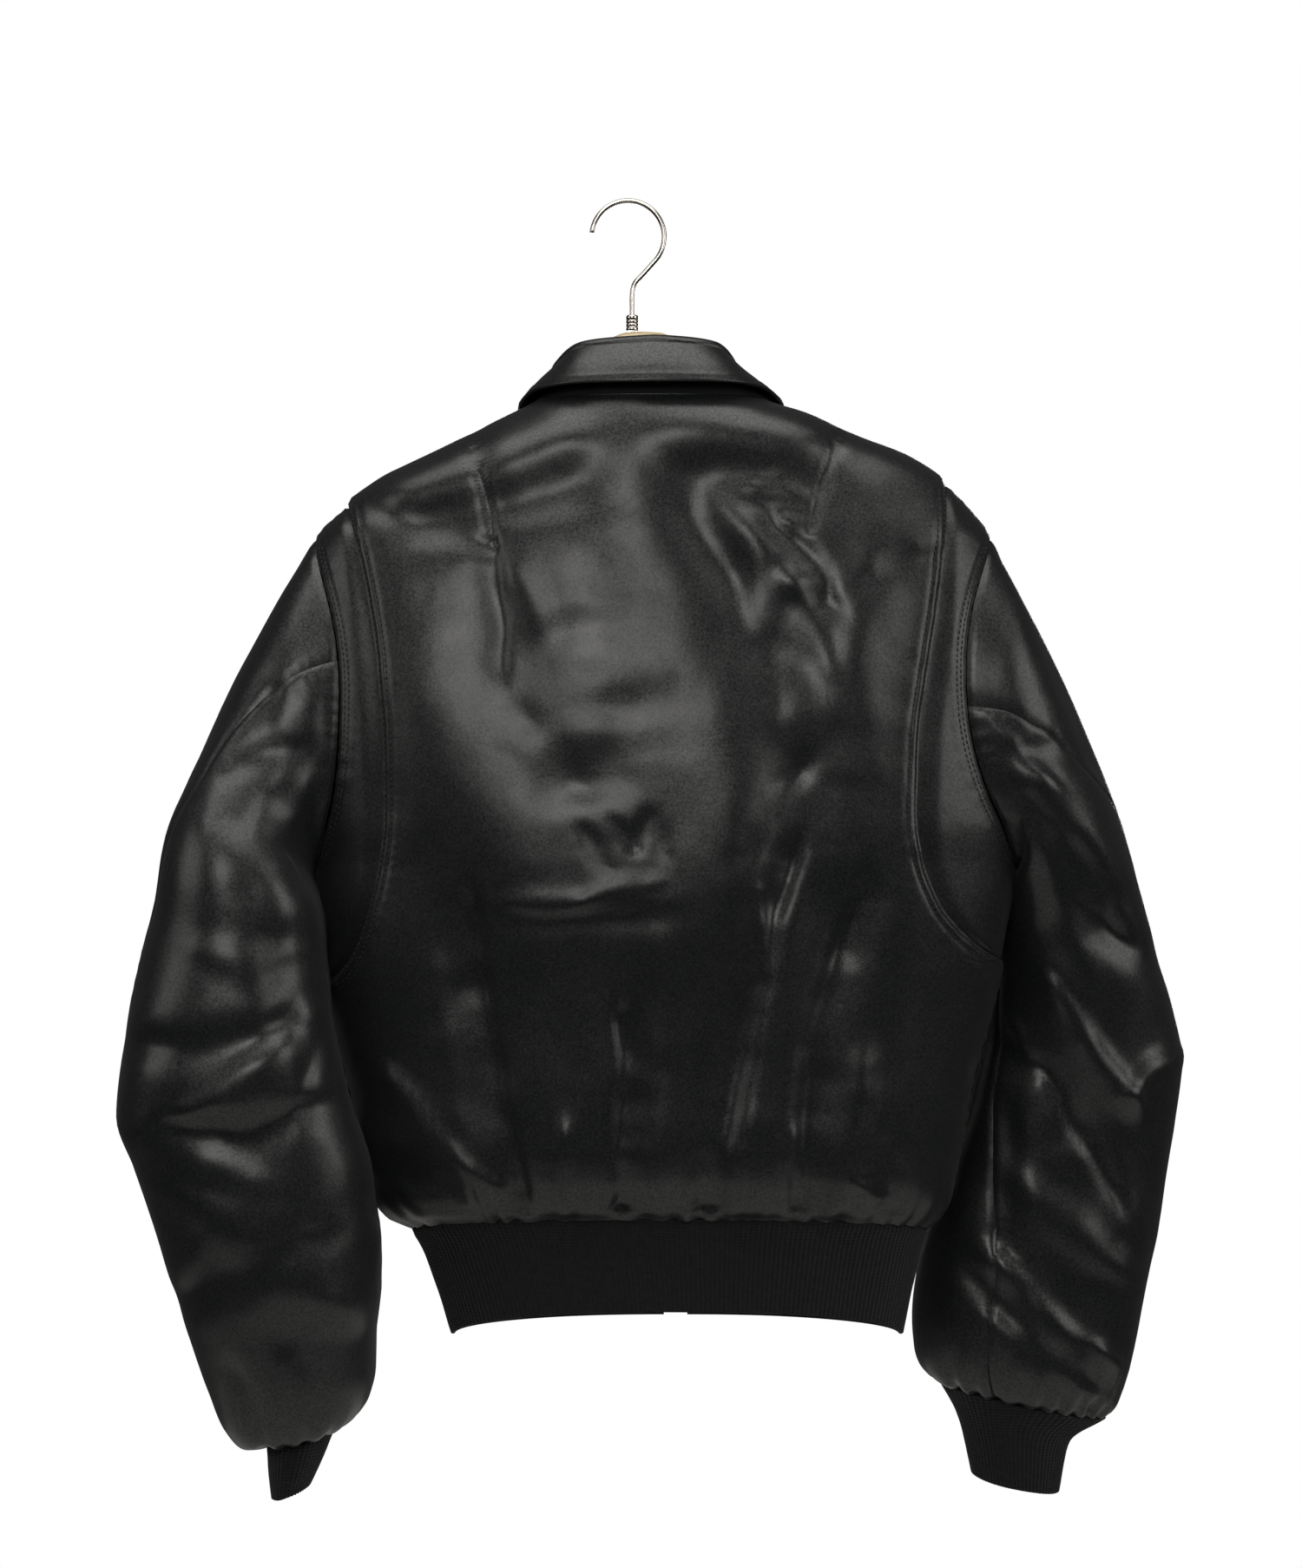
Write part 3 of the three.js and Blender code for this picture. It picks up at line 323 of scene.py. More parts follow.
SLEEVE_LEFT_FOLDS = [
    [-235, -448, -205, -520, 4, -3.0, 14, 0.3],
    [-264, -580, -200, -526, -4, 4.2, 15, 0.3],
    [-300, -540, -215, -530, -6, -3.5, 12, 0],
    [-275, -590, -200, -580, -6, -5.0, 12, 0.3],
    [-318, -590, -232, -622, -3, 2.6, 16, 0.3],
    [-255, -645, -185, -700, -4, 3.0, 16, 0],
    [-272, -700, -190, -660, 5, -3.0, 14, 0],
    [-242, -748, -226, -792, 0, -3.0, 8, 0],
    [-212, -742, -204, -776, 0, 3.0, 8, 0],
    [-226, -322, -240, -400, 4, -2.4, 12, 0.3],
    [-196, -330, -214, -404, 3, 2.6, 12, 0.3],
    [-250, -372, -208, -356, 4, -1.8, 9, 0],
    [-216, -430, -190, -470, -4, 2.8, 8, 0.5],
    [-280, -634, -180, -650, -4, 1.2, 12, 0.4],
    [-262, -480, -212, -482, -5, 2.0, 9, 0],
    [-188, -500, -196, -560, 2, -2.4, 8, 0.3],
]
SLEEVE_RIGHT_FOLDS = [
    [262, -400, 318, -470, 4, -4.5, 14, 0.3],
    [272, -440, 300, -540, 6, 3.5, 14, 0.3],
    [280, -510, 330, -580, -4, 4.5, 10, 0.4],
    [330, -575, 362, -556, 3, 3.5, 9, 0.4],
    [255, -550, 330, -670, 5, -4.5, 13, 0.3],
    [262, -640, 322, -690, -4, 3.5, 13, 0],
    [246, -690, 316, -752, -5, 3.5, 11, 0.5],
    [230, -700, 280, -770, 4, -3.0, 11, 0],
    [300, -750, 306, -786, 0, -3.0, 8, 0],
    [254, -539, 331, -670, -6, 2.8, 8, 0.4],
    [231, -337, 270, -376, -3, 2.8, 9, 0.4],
    [242, -410, 321, -478, -5, -2.4, 12, 0.4],
    [300, -420, 336, -470, 4, 2.0, 12, 0],
    [256, -360, 300, -366, 4, -2.2, 11, 0],
    [330, -610, 352, -690, 3, -2.4, 10, 0],
    [242, -729, 301, -774, -3, 2.6, 9, 0.3],
    [250, -600, 246, -680, 2, -2.0, 9, 0],
]
SLEEVE_TILTS = [
    [-258, -452, 50, 50, 0, 9.0],
    [-232, -650, 62, 66, 0, -7.5],
    [284, -384, 52, 60, -20, -8.5],
    [280, -722, 40, 44, 0, -5.0],
    [322, -560, 22, 30, -30, -3.5],
]
# On the front of the sleeves, which the photograph doesn't show
SLEEVE_FRONT_FOLDS = {
    -1: [
        [-286, -574, -214, -520, 8, -4.2, 12, 0.3],
        [-306, -600, -236, -562, -6, 3.0, 10, 0.3],
        [-296, -632, -222, -598, -7, -3.0, 11, 0.3],
        [-196, -590, -262, -664, 5, -2.4, 12, 0],
        [-262, -400, -215, -470, -4, -3.0, 14, 0],
        [-270, -680, -190, -700, 4, -3.0, 13, 0],
        [-236, -330, -240, -430, 5, 2.6, 16, 0],
    ],
    1: [
        [334, -574, 258, -520, -8, -4.2, 12, 0.3],
        [354, -600, 280, -562, 6, 3.0, 10, 0.3],
        [344, -632, 264, -598, 7, -3.0, 11, 0.3],
        [240, -590, 306, -664, -5, -2.4, 12, 0],
        [312, -400, 262, -470, 4, -3.0, 14, 0],
        [324, -680, 236, -700, -4, -3.0, 13, 0],
        [280, -330, 296, -430, -5, 2.6, 16, 0],
    ],
}
# Where each arm rests on the body the cloth of both is pushed together: x and z, bulge, reach
TOUCH = [
    [-200, -446, 4.6, 28],
    [254, -447, 3.4, 26],
    [-189, -504, 1.6, 16],
    [-166, -612, 3.2, 24],
]
# The back slopes outward down to the drape line and falls inward under it, the front a little less
DRAPE = {"line": -452, "bulge": 3.2, "above": 70, "hollow": 3.6, "below": 72, "hollow_at": -536,
         "start": 200, "start_ramp": 60}
FRONT_DRAPE = 0.6
# Over what distance the folds die away at the seams: in mm, degrees and sleeve rings
HEM_FADE = 10
SIDE_FADE = 9
SLEEVE_START_FADE = 1.2
SLEEVE_FADE = 0.8
GUSSET_FADE = 4
FRONT_SIDE_FADE = 20
ZIP_FADE = 6
EDGE_ON = 0.5            # how far the sleeve must face back or front for its full folds
FRONT_DROP_POWER = 1.5   # how the front's drop grows towards the centre front
# How a fold wanders and changes along its line, how its width grows to the middle and how it runs out
FOLD = {"sway": 0.22, "sway_size": 22, "uneven": 0.35, "uneven_size": 17, "narrow": 0.8, "belly": 0.4,
        "run_out": 1.4}
# Height, size of the lumps and shift of the noise in the crumpled cloth
CRUMPLE = [(1.1, (46, 46, 66), 0.3), (0.34, (20, 20, 28), 7.1), (0.08, (8, 8, 10), 3.9)]
SLEEVE_CRUMPLE = 1.25
GUSSET_CRUMPLE = 0.5
COLLAR_CRUMPLE = 0.35

# Sewn edges: a dip over roll mm at the seam, gathers that reach into the cloth, and the distances of
# its rows of stitches
SEAMS = {row["kind"]: row for row in rows_of(
    ["kind", "dip", "roll", "gather", "pitch", "reach", "seed", "rows"], [
        ["back_hem", 1.0, 3.0, 1.7, 15, 24, 2, ()],
        ["back_edge", 1.7, 1.9, 0.25, 17, 12, 5, (1.8, 7.0)],
        ["back_shoulder", 1.0, 2.2, 0, 13, 18, 11, ()],
        ["side", 1.2, 2.4, 0.5, 12, 12, 9, ()],
        ["gusset_hole", 1.3, 2.2, 0.5, 10, 9, 3, (4.2, 7.0)],
        ["front_hem", 1.0, 3.0, 1.5, 14, 22, 6, ()],
        ["front_hole", 1.3, 2.2, 0.4, 12, 10, 7, (4.2,)],
        ["front_shoulder", 1.0, 2.2, 0, 13, 18, 11, (4.2,)],
        ["front_zip", 0.7, 1.4, 0, 13, 18, 13, (2.2, 8.0)],
        ["sleeve_hole", 1.2, 2.2, 0.5, 12, 10, 1, ()],
        ["sleeve_end", 1.2, 3.0, 1.5, 13, 20, 8, ()],
        ["sleeve_seam", 1.1, 1.7, 0.16, 15, 9, 15, ()],
        ["collar_edge", 0, 2, 0.12, 14, 10, 4, (4.5,)],
    ])}
SEAM_POINTS = 90
EDGE_POINTS = 80
# How far below its first row, or the shoulder's tip, the stitching of an edge starts
EDGE_START = 6
HOLE_START = 3
# How gathers stray from their pitch, vary in height and die away from the seam
GATHER = {"stray": 0.9, "stray_size": 2.2, "least": 0.65, "uneven": 0.6, "uneven_size": 30, "fall": 1.5}
# The puckered groove under a row of stitches, and the low swell beside it
PUCKER = {"pitch": 9.0, "sway": 0.7, "sway_size": 20, "groove": 0.35, "deeper": 0.3, "groove_wide": 1.3,
          "swell": 0.22, "swell_off": 3.4, "swell_wide": 2.6}
STITCH = {"length": 2.9, "gap": 0.9, "half_wide": 0.42, "rise": 0.28, "end": 0.12, "sides": 6, "rings": 4}

ARMS = {
    "left": {"side": -1, "rings": SLEEVE_LEFT, "seams": SEAMS_LEFT, "cuff": CUFF_LEFT,
             "folds": SLEEVE_LEFT_FOLDS},
    "right": {"side": 1, "rings": SLEEVE_RIGHT, "seams": SEAMS_RIGHT, "cuff": CUFF_RIGHT,
              "folds": SLEEVE_RIGHT_FOLDS},
}

# Knitted ribs and the band at the hem, which tucks in under the cloth at its seam
KNIT = {"rib": 0.42, "uneven": 0.10, "uneven_size": 5, "waves": 0.7, "wave_size": (26, 26, 40),
        "sink": 0.2, "rim": 0.04, "rim_rib": 0.25}
HEM_SINK = 0.7
HEM_SINK_RAMP = 5
HEM_TURN = 179           # degrees round to each end of the band, at the zip

# Collar: stand up to a rolled fold, then a leaf that falls outside, by angle round the neck
COLLAR = curves(["angle", "foldOut", "foldZ", "edgeAngle", "edgeDown", "edgeOut", "edgeUp"], [
    [0, -5, -96, 0, 130, 11, 7],
    [35, -7, -99, 35, 130, 10, 6.5],
    [60, -11, -108, 60, 131, 6, 6],
    [90, -14, -118, 90, 134, 2.5, 3.2],
    [120, -11, -136, 119, 140, 2.5, 3.4],
    [150, -7, -156, 145.5, 152, 3, 3],
    [174, -4, -170, 164, 178, 3.2, 2.4],
])
COLLAR_END = 174
COLLAR_ROLL = 3.4
COLLAR_LEAF_CROWN = 1.7
# Rows of the collar: shares up the stand, turns over the roll, shares down the leaf to its thinner rim
COLLAR_STAND = np.linspace(0, 0.95, 12)
COLLAR_ROLL_TURNS = np.radians(np.linspace(180, -10, 13))
COLLAR_LEAF = np.concatenate([np.linspace(0.04, 0.95, 26), [0.975, 0.99, 1.0]])
COLLAR_RIM = (0.95, 0.75, 0.4)
COLLAR_LEAN = {"fold": 10, "edge": 5, "lift": 1.6}     # how far the right half leans in

ZIP = {"top": 131, "bottom": 733, "pitch": 2.6, "thick": 1.1, "rows": 180}
FRONT_EDGE = 7.8
# Across and rise of the tape, whose edges run back behind the cloth
ZIP_SECTION = [
    (-11, -4.4), (-7.72, -4.4), (-7.45, -0.6), (-5.4, -0.2), (-3.6, 0), (-1.8, 0.25), (0, 0.25),
    (1.8, 0.25), (3.6, 0), (5.4, -0.2), (7.45, -0.6), (7.72, -4.4), (11, -4.4),
]
# A tooth's outline, across and along, and how it shrinks about its middle with the height
TOOTH_OUTLINE = [(-0.7, -0.5), (2.9, -0.62), (2.9, 0.62), (-0.7, 0.5)]
TOOTH_LEVELS = [(0.2, 1.0), (1.05, 1.0), (1.4, 0.72)]
TOOTH_MIDDLE = 1.1
METAL_EDGE = 0.00025     # metres

HOOK = {"wire": 1.6, "radius": 23.6, "centre_x": 1.6, "tip": 174, "end": -44, "foot": -83.4,
        "tip_share": 0.72, "ring_points": 40, "points": 150, "sides": 20}
HOOK_NECK = [(11.6, -46.2), (6, -52.5), (4.4, -60), (4.4, -70), (4.4, -83.4)]
FERRULE = {"bore": 1.9, "radius": 4.0, "rim": 3.7, "groove": 3.6, "lip": 3.1, "top": -73, "x": 4.4,
           "grooves": (-80.6, -78.4, -76.2), "sides": 48}
HANGER = {"left": -172, "right": 181, "neck_left": -62, "neck_right": 100, "seat": 0.9, "clear": 0.15,
          "flat_top": 0.955, "end_share": 0.9, "end_length": 0.6, "rows": 150, "sides": 28}
HANGER_SECTION = curves(["x", "halfThick", "halfHigh"], [
    [-172, 7, 6], [-140, 15, 12], [-80, 13, 14], [-40, 9, 15], [4, 8, 15], [50, 9, 15],
    [90, 13, 14], [150, 15, 12], [181, 7, 6],
])
HANGER_NECK = curves(["x", "top"], [
    [-62, -138], [-52, -134], [-44, -127], [-32, -114], [-20, -99], [-11, -88], [4, -83],
    [26, -84], [38, -95], [48, -106], [58, -119], [68, -130], [78, -138], [88, -142], [100, -145],
])

# Light, ground and camera; the places and sizes of the lights are in metres
CAMERA = {"x": 16.6, "y": -2200, "z": -378, "focal_px": 3894, "image_height": 1806, "sensor": 36.0}
LIGHT_COLOUR = (1.0, 0.985, 0.945)
LIGHTS = rows_of(["name", "x", "y", "z", "toX", "toZ", "width", "height", "watts"], [
    ["key", -0.28, -2.2, 0.44, 0.0, -0.30, 0.95, 0.5, 12.5],
    ["above", -0.05, -0.6, 1.4, 0.0, -0.28, 2.4, 1.4, 33],
    ["fill_left", -2.0, -1.0, 0.3, -0.2, -0.40, 1.2, 1.2, 8],
    ["fill_right", 2.0, -1.1, 0.3, 0.25, -0.40, 1.4, 1.4, 16],
    ["front", 0.3, 2.4, -0.15, 0.0, -0.40, 1.4, 1.0, 30],
])
STUDIO = {"light": 0.03, "seen": 1.0}
FLOOR = {"x": 16, "z": -1260, "radius": 1050, "sides": 96}
NOISE_SPAN = (0.3, 0.7)  # where most values of a noise texture lie

# Soft uneven noise on a repeating lattice
LATTICE_SIZE = 48
LATTICE_SEED = 45
LATTICE = np.random.RandomState(LATTICE_SEED).uniform(-1, 1, (LATTICE_SIZE,) * 3)


def unit(vectors):
    return vectors / np.maximum(np.linalg.norm(vectors, axis=-1, keepdims=True), 1e-9)


def ease(value):
    held = np.clip(value, 0, 1)
    return held * held * (3 - 2 * held)


def soft_noise(points, size, shift=0.0):
    """Smooth noise from -1 to 1 with lumps of that size; size may differ for each axis."""
    place = points / np.array(size, float) + shift
    cell = np.floor(place).astype(int)
    part = ease(place - cell)
    total = 0
    for corner in range(8):
        pick = np.array([corner & 1, corner >> 1 & 1, corner >> 2 & 1])
        weight = np.prod(np.where(pick, part, 1 - part), axis=-1)
        at = (cell + pick) % LATTICE_SIZE
        total = total + weight * LATTICE[at[..., 0], at[..., 1], at[..., 2]]
    return total


def line_noise(run, size, shift):
    """Smooth noise along a line."""
    run = np.asarray(run, float)
    return soft_noise(np.stack([run, 0 * run, 0 * run], axis=-1), size, shift)


# Lines of points

def run_along(line):
    """How far along a line each of its points lies."""
    return np.concatenate([[0], np.cumsum(np.linalg.norm(np.diff(line, axis=0), axis=1))])


def points_at(line, run, at):
    """The points of a line, or the normals given along it, at those distances."""
    return np.stack([np.interp(at, run, line[:, k]) for k in range(3)], axis=-1)


def along_line(points, line):
    """For each point its distance to a line of points, and how far along the line it lies."""
    flat = points.reshape(-1, 3)
    best = np.full(len(flat), np.inf)
    run = np.zeros(len(flat))
    start = 0.0
    for first, last in zip(line[:-1], line[1:]):
        step = last - first
        length = np.linalg.norm(step)
        if length < 1e-6:
            continue
        share = np.clip((flat - first) @ step / length ** 2, 0, 1)
        gap = np.sum((flat - first - share[:, None] * step) ** 2, axis=1)
        nearer = gap < best
        best = np.where(nearer, gap, best)
        run = np.where(nearer, start + share * length, run)
        start += length
    return np.sqrt(best).reshape(points.shape[:-1]), run.reshape(points.shape[:-1])


# Surfaces of torso and sleeves

def bend(value):
    return np.sign(value) * np.abs(value) ** (2 / SQUARENESS)


def half_width(angle, down):
    middle = MIDDLE["x"](down)
    return np.where(np.asarray(angle) < 0, middle - TORSO["left"](down), TORSO["right"](down) - middle)


def torso(angle, down):
    angle, down = np.broadcast_arrays(np.asarray(angle, float), np.asarray(down, float))
    turn = np.radians(angle)
    facing = np.cos(turn)
    depth = np.where(facing > 0, TORSO["back"](down), TORSO["front"](down))
    ahead = np.maximum(-facing, 0) ** FRONT_DROP_POWER
    lean = np.where(facing > 0, TORSO["backRise"](down) * facing, -TORSO["frontDrop"](down) * ahead)
    x = MIDDLE["x"](down) + bend(np.sin(turn)) * half_width(angle, down)
    return np.stack([x, -bend(facing) * depth, lean - down], axis=-1)


def torso_normal(angle, down):
    above = np.maximum(down - LEVEL_STEP, NECK)
    below = np.minimum(down + LEVEL_STEP, HEM_BOTTOM)
    across = torso(angle + 1, down) - torso(angle - 1, down)
    along = torso(angle, below) - torso(angle, above)
    return unit(np.cross(along, across))


def angle_at(across, half):
    return np.degrees(np.arcsin(np.minimum(1, across / half) ** (SQUARENESS / 2)))


def side_angle(down, facing):
    """Angle of the seam at the side: the shoulder seam, the armhole's edge or the side seam."""
    fall = np.clip((down - SHOULDER_TIP) / (ARMPIT - SHOULDER_TIP), 0, 1)
    return 90 - facing * ARMHOLE_OPENING * np.sin(np.arccos(1 - 2 * fall))


def drawn_edge_angle(side, down):
    """Angle of the back panel's folded edge as its curve draws it."""
    across = np.abs(BACK_EDGE[side]["x"](down) - MIDDLE["x"](down))
    return angle_at(across, half_width(side, down))


def back_edge_angle(side, down):
    """Angle of the back panel's edge on each row: folded over its span, at the side seam past that."""
    first, last = BACK_EDGE_SPAN[side]
    return np.where((down <= first) | (down >= last), 90, drawn_edge_angle(side, down))


def arm_ring(rings, turn, ring):
    reach = bend(np.cos(np.radians(turn))) / 2
    depth = bend(np.sin(np.radians(turn)))
    outer, inner = 0.5 + reach, 0.5 - reach
    return np.stack([
        rings["outerX"](ring) * outer + rings["innerX"](ring) * inner,
        rings["middleY"](ring) - rings["halfDepth"](ring) * depth,
        rings["outerZ"](ring) * outer + rings["innerZ"](ring) * inner,
    ], axis=-1)


def armhole_point(side, turn):
    fall = (1 - np.cos(np.radians(turn))) / 2
    down = SHOULDER_TIP + (ARMPIT - SHOULDER_TIP) * fall
    return torso(side * (90 - ARMHOLE_OPENING * np.sin(np.radians(turn))), down)


def sleeve(arm, turn, ring):
    turn, ring = np.broadcast_arrays(np.asarray(turn, float), np.asarray(ring, float))
    change = armhole_point(arm["side"], turn) - arm_ring(arm["rings"], turn, 0 * ring)
    share = np.maximum(1 - ring / ARMHOLE_BLEND, 0) ** 2
    return arm_ring(arm["rings"], turn, ring) + share[..., None] * change


def tube_normal(surface, turn, ring, last):
    above = np.maximum(ring - RING_STEP, 0)
    below = np.minimum(ring + RING_STEP, last)
    across = surface(turn + 2, ring) - surface(turn - 2, ring)
    normal = unit(np.cross(surface(turn, below) - surface(turn, above), across))
    outward = surface(turn, ring) - surface(turn + 180, ring)
    inward = np.sum(normal * outward, axis=-1, keepdims=True) < 0
    return np.where(inward, -normal, normal)


# Relief

def fold_relief(folds, x, z):
    total = np.zeros_like(x)
    for number, (from_x, from_z, to_x, to_z, bow, height, width, skew) in enumerate(folds):
        run_x, run_z = to_x - from_x, to_z - from_z
        length = math.hypot(run_x, run_z)
        along = ((x - from_x) * run_x + (z - from_z) * run_z) / length
        across = ((x - from_x) * -run_z + (z - from_z) * run_x) / length
        share = np.clip(along / length, 0, 1)
        wander = FOLD["sway"] * width * line_noise(share * length, FOLD["sway_size"], 3.7 * number)
        uneven = 1 + FOLD["uneven"] * line_noise(share * length, FOLD["uneven_size"], 5.3 * number + 1)
        off = across - bow * 4 * share * (1 - share) - wander
        here = width * (FOLD["narrow"] + FOLD["belly"] * np.sin(math.pi * share))
        here = here * np.where(off > 0, 1 - skew, 1 + skew)
        past = (along - share * length) / (FOLD["run_out"] * width)
        total += height * uneven * np.exp(-(off / here) ** 2 - past ** 2)
    return total


def turned_places(rows, x, z):
    """For each row its own scaled axes, across and up, at the given places, and its height."""
    for middle_x, middle_z, half_across, half_down, degrees, height in rows:
        turn = math.radians(degrees)
        across = (x - middle_x) * math.cos(turn) + (z - middle_z) * math.sin(turn)
        up = (z - middle_z) * math.cos(turn) - (x - middle_x) * math.sin(turn)
        yield across / half_across, up / half_down, height


def dent_relief(dents, x, z):
    return sum(height * np.exp(-across ** 2 - up ** 2) for across, up, height in turned_places(dents, x, z))


def tilt_relief(tilts, x, z):
    return sum(rise * up * np.exp(-across ** 4 - up ** 2) for across, up, rise in turned_places(tilts, x, z))


def touch_relief(points):
    """The cloth pushed together between arm and body, the same for every piece that meets there."""
    total = np.zeros(points.shape[:-1])
    for x, z, bulge, reach in TOUCH:
        off_x, off_z = (points[..., 0] - x) / reach, (points[..., 2] - z) / reach
        total += bulge * np.exp(-off_x ** 2 - off_z ** 2)
    return total


def crumple(points):
    """Small unevenness of wadded satin, from broad lumps to fine wrinkles."""
    return sum(height * soft_noise(points, size, shift) for height, size, shift in CRUMPLE)


def sewn(kind, line, shift=0):
    """A seam of one kind along a line, with its gathers shifted."""
    seam = SEAMS[kind]
    return dict(seam, line=line[::max(1, len(line) // SEAM_POINTS)], seed=seam["seed"] + shift)


def seam_relief(points, seams):
    total = np.zeros(points.shape[:-1])
    for seam in seams:
        off, run = along_line(points, seam["line"])
        total -= seam["dip"] * np.exp(-(off / seam["roll"]) ** 2)
        stray = GATHER["stray"] * line_noise(run, GATHER["stray_size"] * seam["pitch"], seam["seed"])
        uneven = GATHER["uneven"] * line_noise(run, GATHER["uneven_size"], seam["seed"] + 4)
        swing = np.sin(2 * math.pi * (run / seam["pitch"] + stray)) * (GATHER["least"] + uneven)
        total += seam["gather"] * swing * np.exp(-(off / seam["reach"]) ** GATHER["fall"])
        sway = PUCKER["sway"] * line_noise(run, PUCKER["sway_size"], seam["seed"])
        pull = 0.5 + 0.5 * np.sin(2 * math.pi * (run / PUCKER["pitch"] + sway))
        for row in seam["rows"]:
            groove = PUCKER["groove"] + PUCKER["deeper"] * pull
            total -= groove * np.exp(-((off - row) / PUCKER["groove_wide"]) ** 2)
            beside = (off - row - PUCKER["swell_off"]) / PUCKER["swell_wide"]
            total += PUCKER["swell"] * np.exp(-beside ** 2) * pull
    return total


# Meshes

def grid_faces(rows, columns, start, closed):
    last = columns if closed else columns - 1
    row, column = np.meshgrid(np.arange(rows - 1), np.arange(last), indexing="ij")
    beside = (column + 1) % columns
    corners = [row * columns + column, row * columns + beside,
               (row + 1) * columns + beside, (row + 1) * columns + column]
    return start + np.stack([corner.ravel() for corner in corners], axis=1)


def rim_faces(first, second):
    """Quads between two rows of vertex numbers."""
    return np.stack([first[:-1], second[:-1], second[1:], first[1:]], axis=1)


def tube_faces(rings, sides):
    """Faces of a tube with a flat cap at each end."""
    last = (rings - 1) * sides
    caps = [list(range(sides))[::-1], list(range(last, last + sides))]
    return grid_faces(rings, sides, 0, True).tolist() + caps


def full_turn(sides):
    return np.linspace(0, 2 * math.pi, sides, endpoint=False)


def oriented(points, faces):
    """The faces, turned round if they look inward."""
    volume = 0.0
    for face in faces:
        for i in range(1, len(face) - 1):
            volume += np.dot(points[face[0]], np.cross(points[face[i]], points[face[i + 1]]))
    return faces if volume > 0 else [face[::-1] for face in faces]


def new_object(name, points, faces, surface, sharp=60):
    mesh = bpy.data.meshes.new(name)
    mesh.from_pydata((np.asarray(points) * MM).tolist(), [], [list(map(int, face)) for face in faces])
    mesh.polygons.foreach_set("use_smooth", [True] * len(mesh.polygons))
    mesh.set_sharp_from_angle(angle=math.radians(sharp))
    mesh.materials.append(surface.material)
    mesh.validate()
    obj = bpy.data.objects.new(name, mesh)
    bpy.context.scene.collection.objects.link(obj)
    return obj


def shell(name, outer, inner, surface, closed=False, sharp=60):
    """A closed wall between two matching grids of points: outer faces, inner faces, then the rims."""
    rows, columns = outer.shape[:2]
    count = rows * columns
    points = np.concatenate([outer.reshape(-1, 3), inner.reshape(-1, 3)])
    number = np.arange(count).reshape(rows, columns)
    if closed:
        number = np.concatenate([number, number[:, :1]], axis=1)
    parts = [
        grid_faces(rows, columns, 0, closed), grid_faces(rows, columns, count, closed)[:, ::-1],
        rim_faces(number[0], number[0] + count), rim_faces(number[-1], number[-1] + count)[:, ::-1],
    ]
    if not closed:
        parts.append(rim_faces(number[:, 0], number[:, 0] + count)[:, ::-1])
        parts.append(rim_faces(number[:, -1], number[:, -1] + count))
    quads = np.concatenate(parts)
    a, b, c, d = (points[quads[:, i]] for i in range(4))
    if np.sum(a * np.cross(b, c)) + np.sum(a * np.cross(c, d)) < 0:
        quads = quads[:, ::-1]
    return new_object(name, points, quads, surface, sharp)


def lined_with_painted_shade(obj, marks):
    """Puts the dark lining material on the faces marked 1, counted from the first face. On the inner faces it
    is the jacket's lining, made darker than the satin as painted shade inside the jacket; on the collar's
    stand it is painted shade under the leaf.
    """
    obj.data.materials.append(LINING_AND_PAINTED_SHADE.material)
    all_marks = np.zeros(len(obj.data.polygons), int)
    all_marks[:len(marks)] = marks
    obj.data.polygons.foreach_set("material_index", all_marks)


def dressed(obj, slot, *nodes):
    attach(obj, "jacket")
    if nodes:
        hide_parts(*nodes)


# Materials

class Surface:
    """A material on the Principled shader with its own node tree in object space."""

    def __init__(self, name, **values):
        self.material = bpy.data.materials.new(name)
        self.material.use_nodes = True
        self.tree = self.material.node_tree
        self.shader = self.tree.nodes["Principled BSDF"]
        self.place = self.node("TexCoord", "Object")
        self.normal = None
        self.fill(self.shader, values)

    def fill(self, made, values):
        """Sets a node's inputs, named with _ for a space, to values or links them to other nodes."""
        for key, value in values.items():
            target = made.inputs[key.replace("_", " ")]
            if isinstance(value, bpy.types.NodeSocket):
                self.tree.links.new(value, target)
            else:
                target.default_value = value

    def node(self, kind, output, **values):
        made = self.tree.nodes.new("ShaderNode" + kind)
        self.fill(made, values)
        return made.outputs[output]

    def noise(self, scale, detail=2.0, roughness=0.5, place=None):
        return self.node("TexNoise", "Fac", Scale=scale, Detail=detail, Roughness=roughness,
                         Vector=place or self.place)

    def bands(self, scale, distortion, axis):
        made = self.node("TexWave", "Fac", Scale=scale, Distortion=distortion, Detail=1.0, Vector=self.place)
        made.node.bands_direction = axis
        return made

    def ranged(self, source, low, high):
        return self.node("MapRange", "Result", Value=source, From_Min=NOISE_SPAN[0], From_Max=NOISE_SPAN[1],
                         To_Min=low, To_Max=high)

    def added(self, first, second):
        made = self.tree.nodes.new("ShaderNodeMath")
        for source, target in zip((first, second), made.inputs):
            self.tree.links.new(source, target)
        return made.outputs["Value"]

    def colours(self, source, *colours, span=NOISE_SPAN):
        """The base colour, from the first to the last colour over that span of the source."""
        made = self.node("ValToRGB", "Color", Fac=source)
        band = made.node.color_ramp
        while len(band.elements) < len(colours):
            band.elements.new(0.5)
        for element, place, colour in zip(band.elements, np.linspace(*span, len(colours)), colours):
            element.position = place
            element.color = (*colour, 1)
        self.fill(self.shader, {"Base Color": made})

    def bump(self, source, strength, distance):
        under = {"Normal": self.normal} if self.normal else {}
        self.normal = self.node("Bump", "Normal", Height=source, Strength=strength, Distance=distance,
                                **under)
        self.fill(self.shader, {"Normal": self.normal})


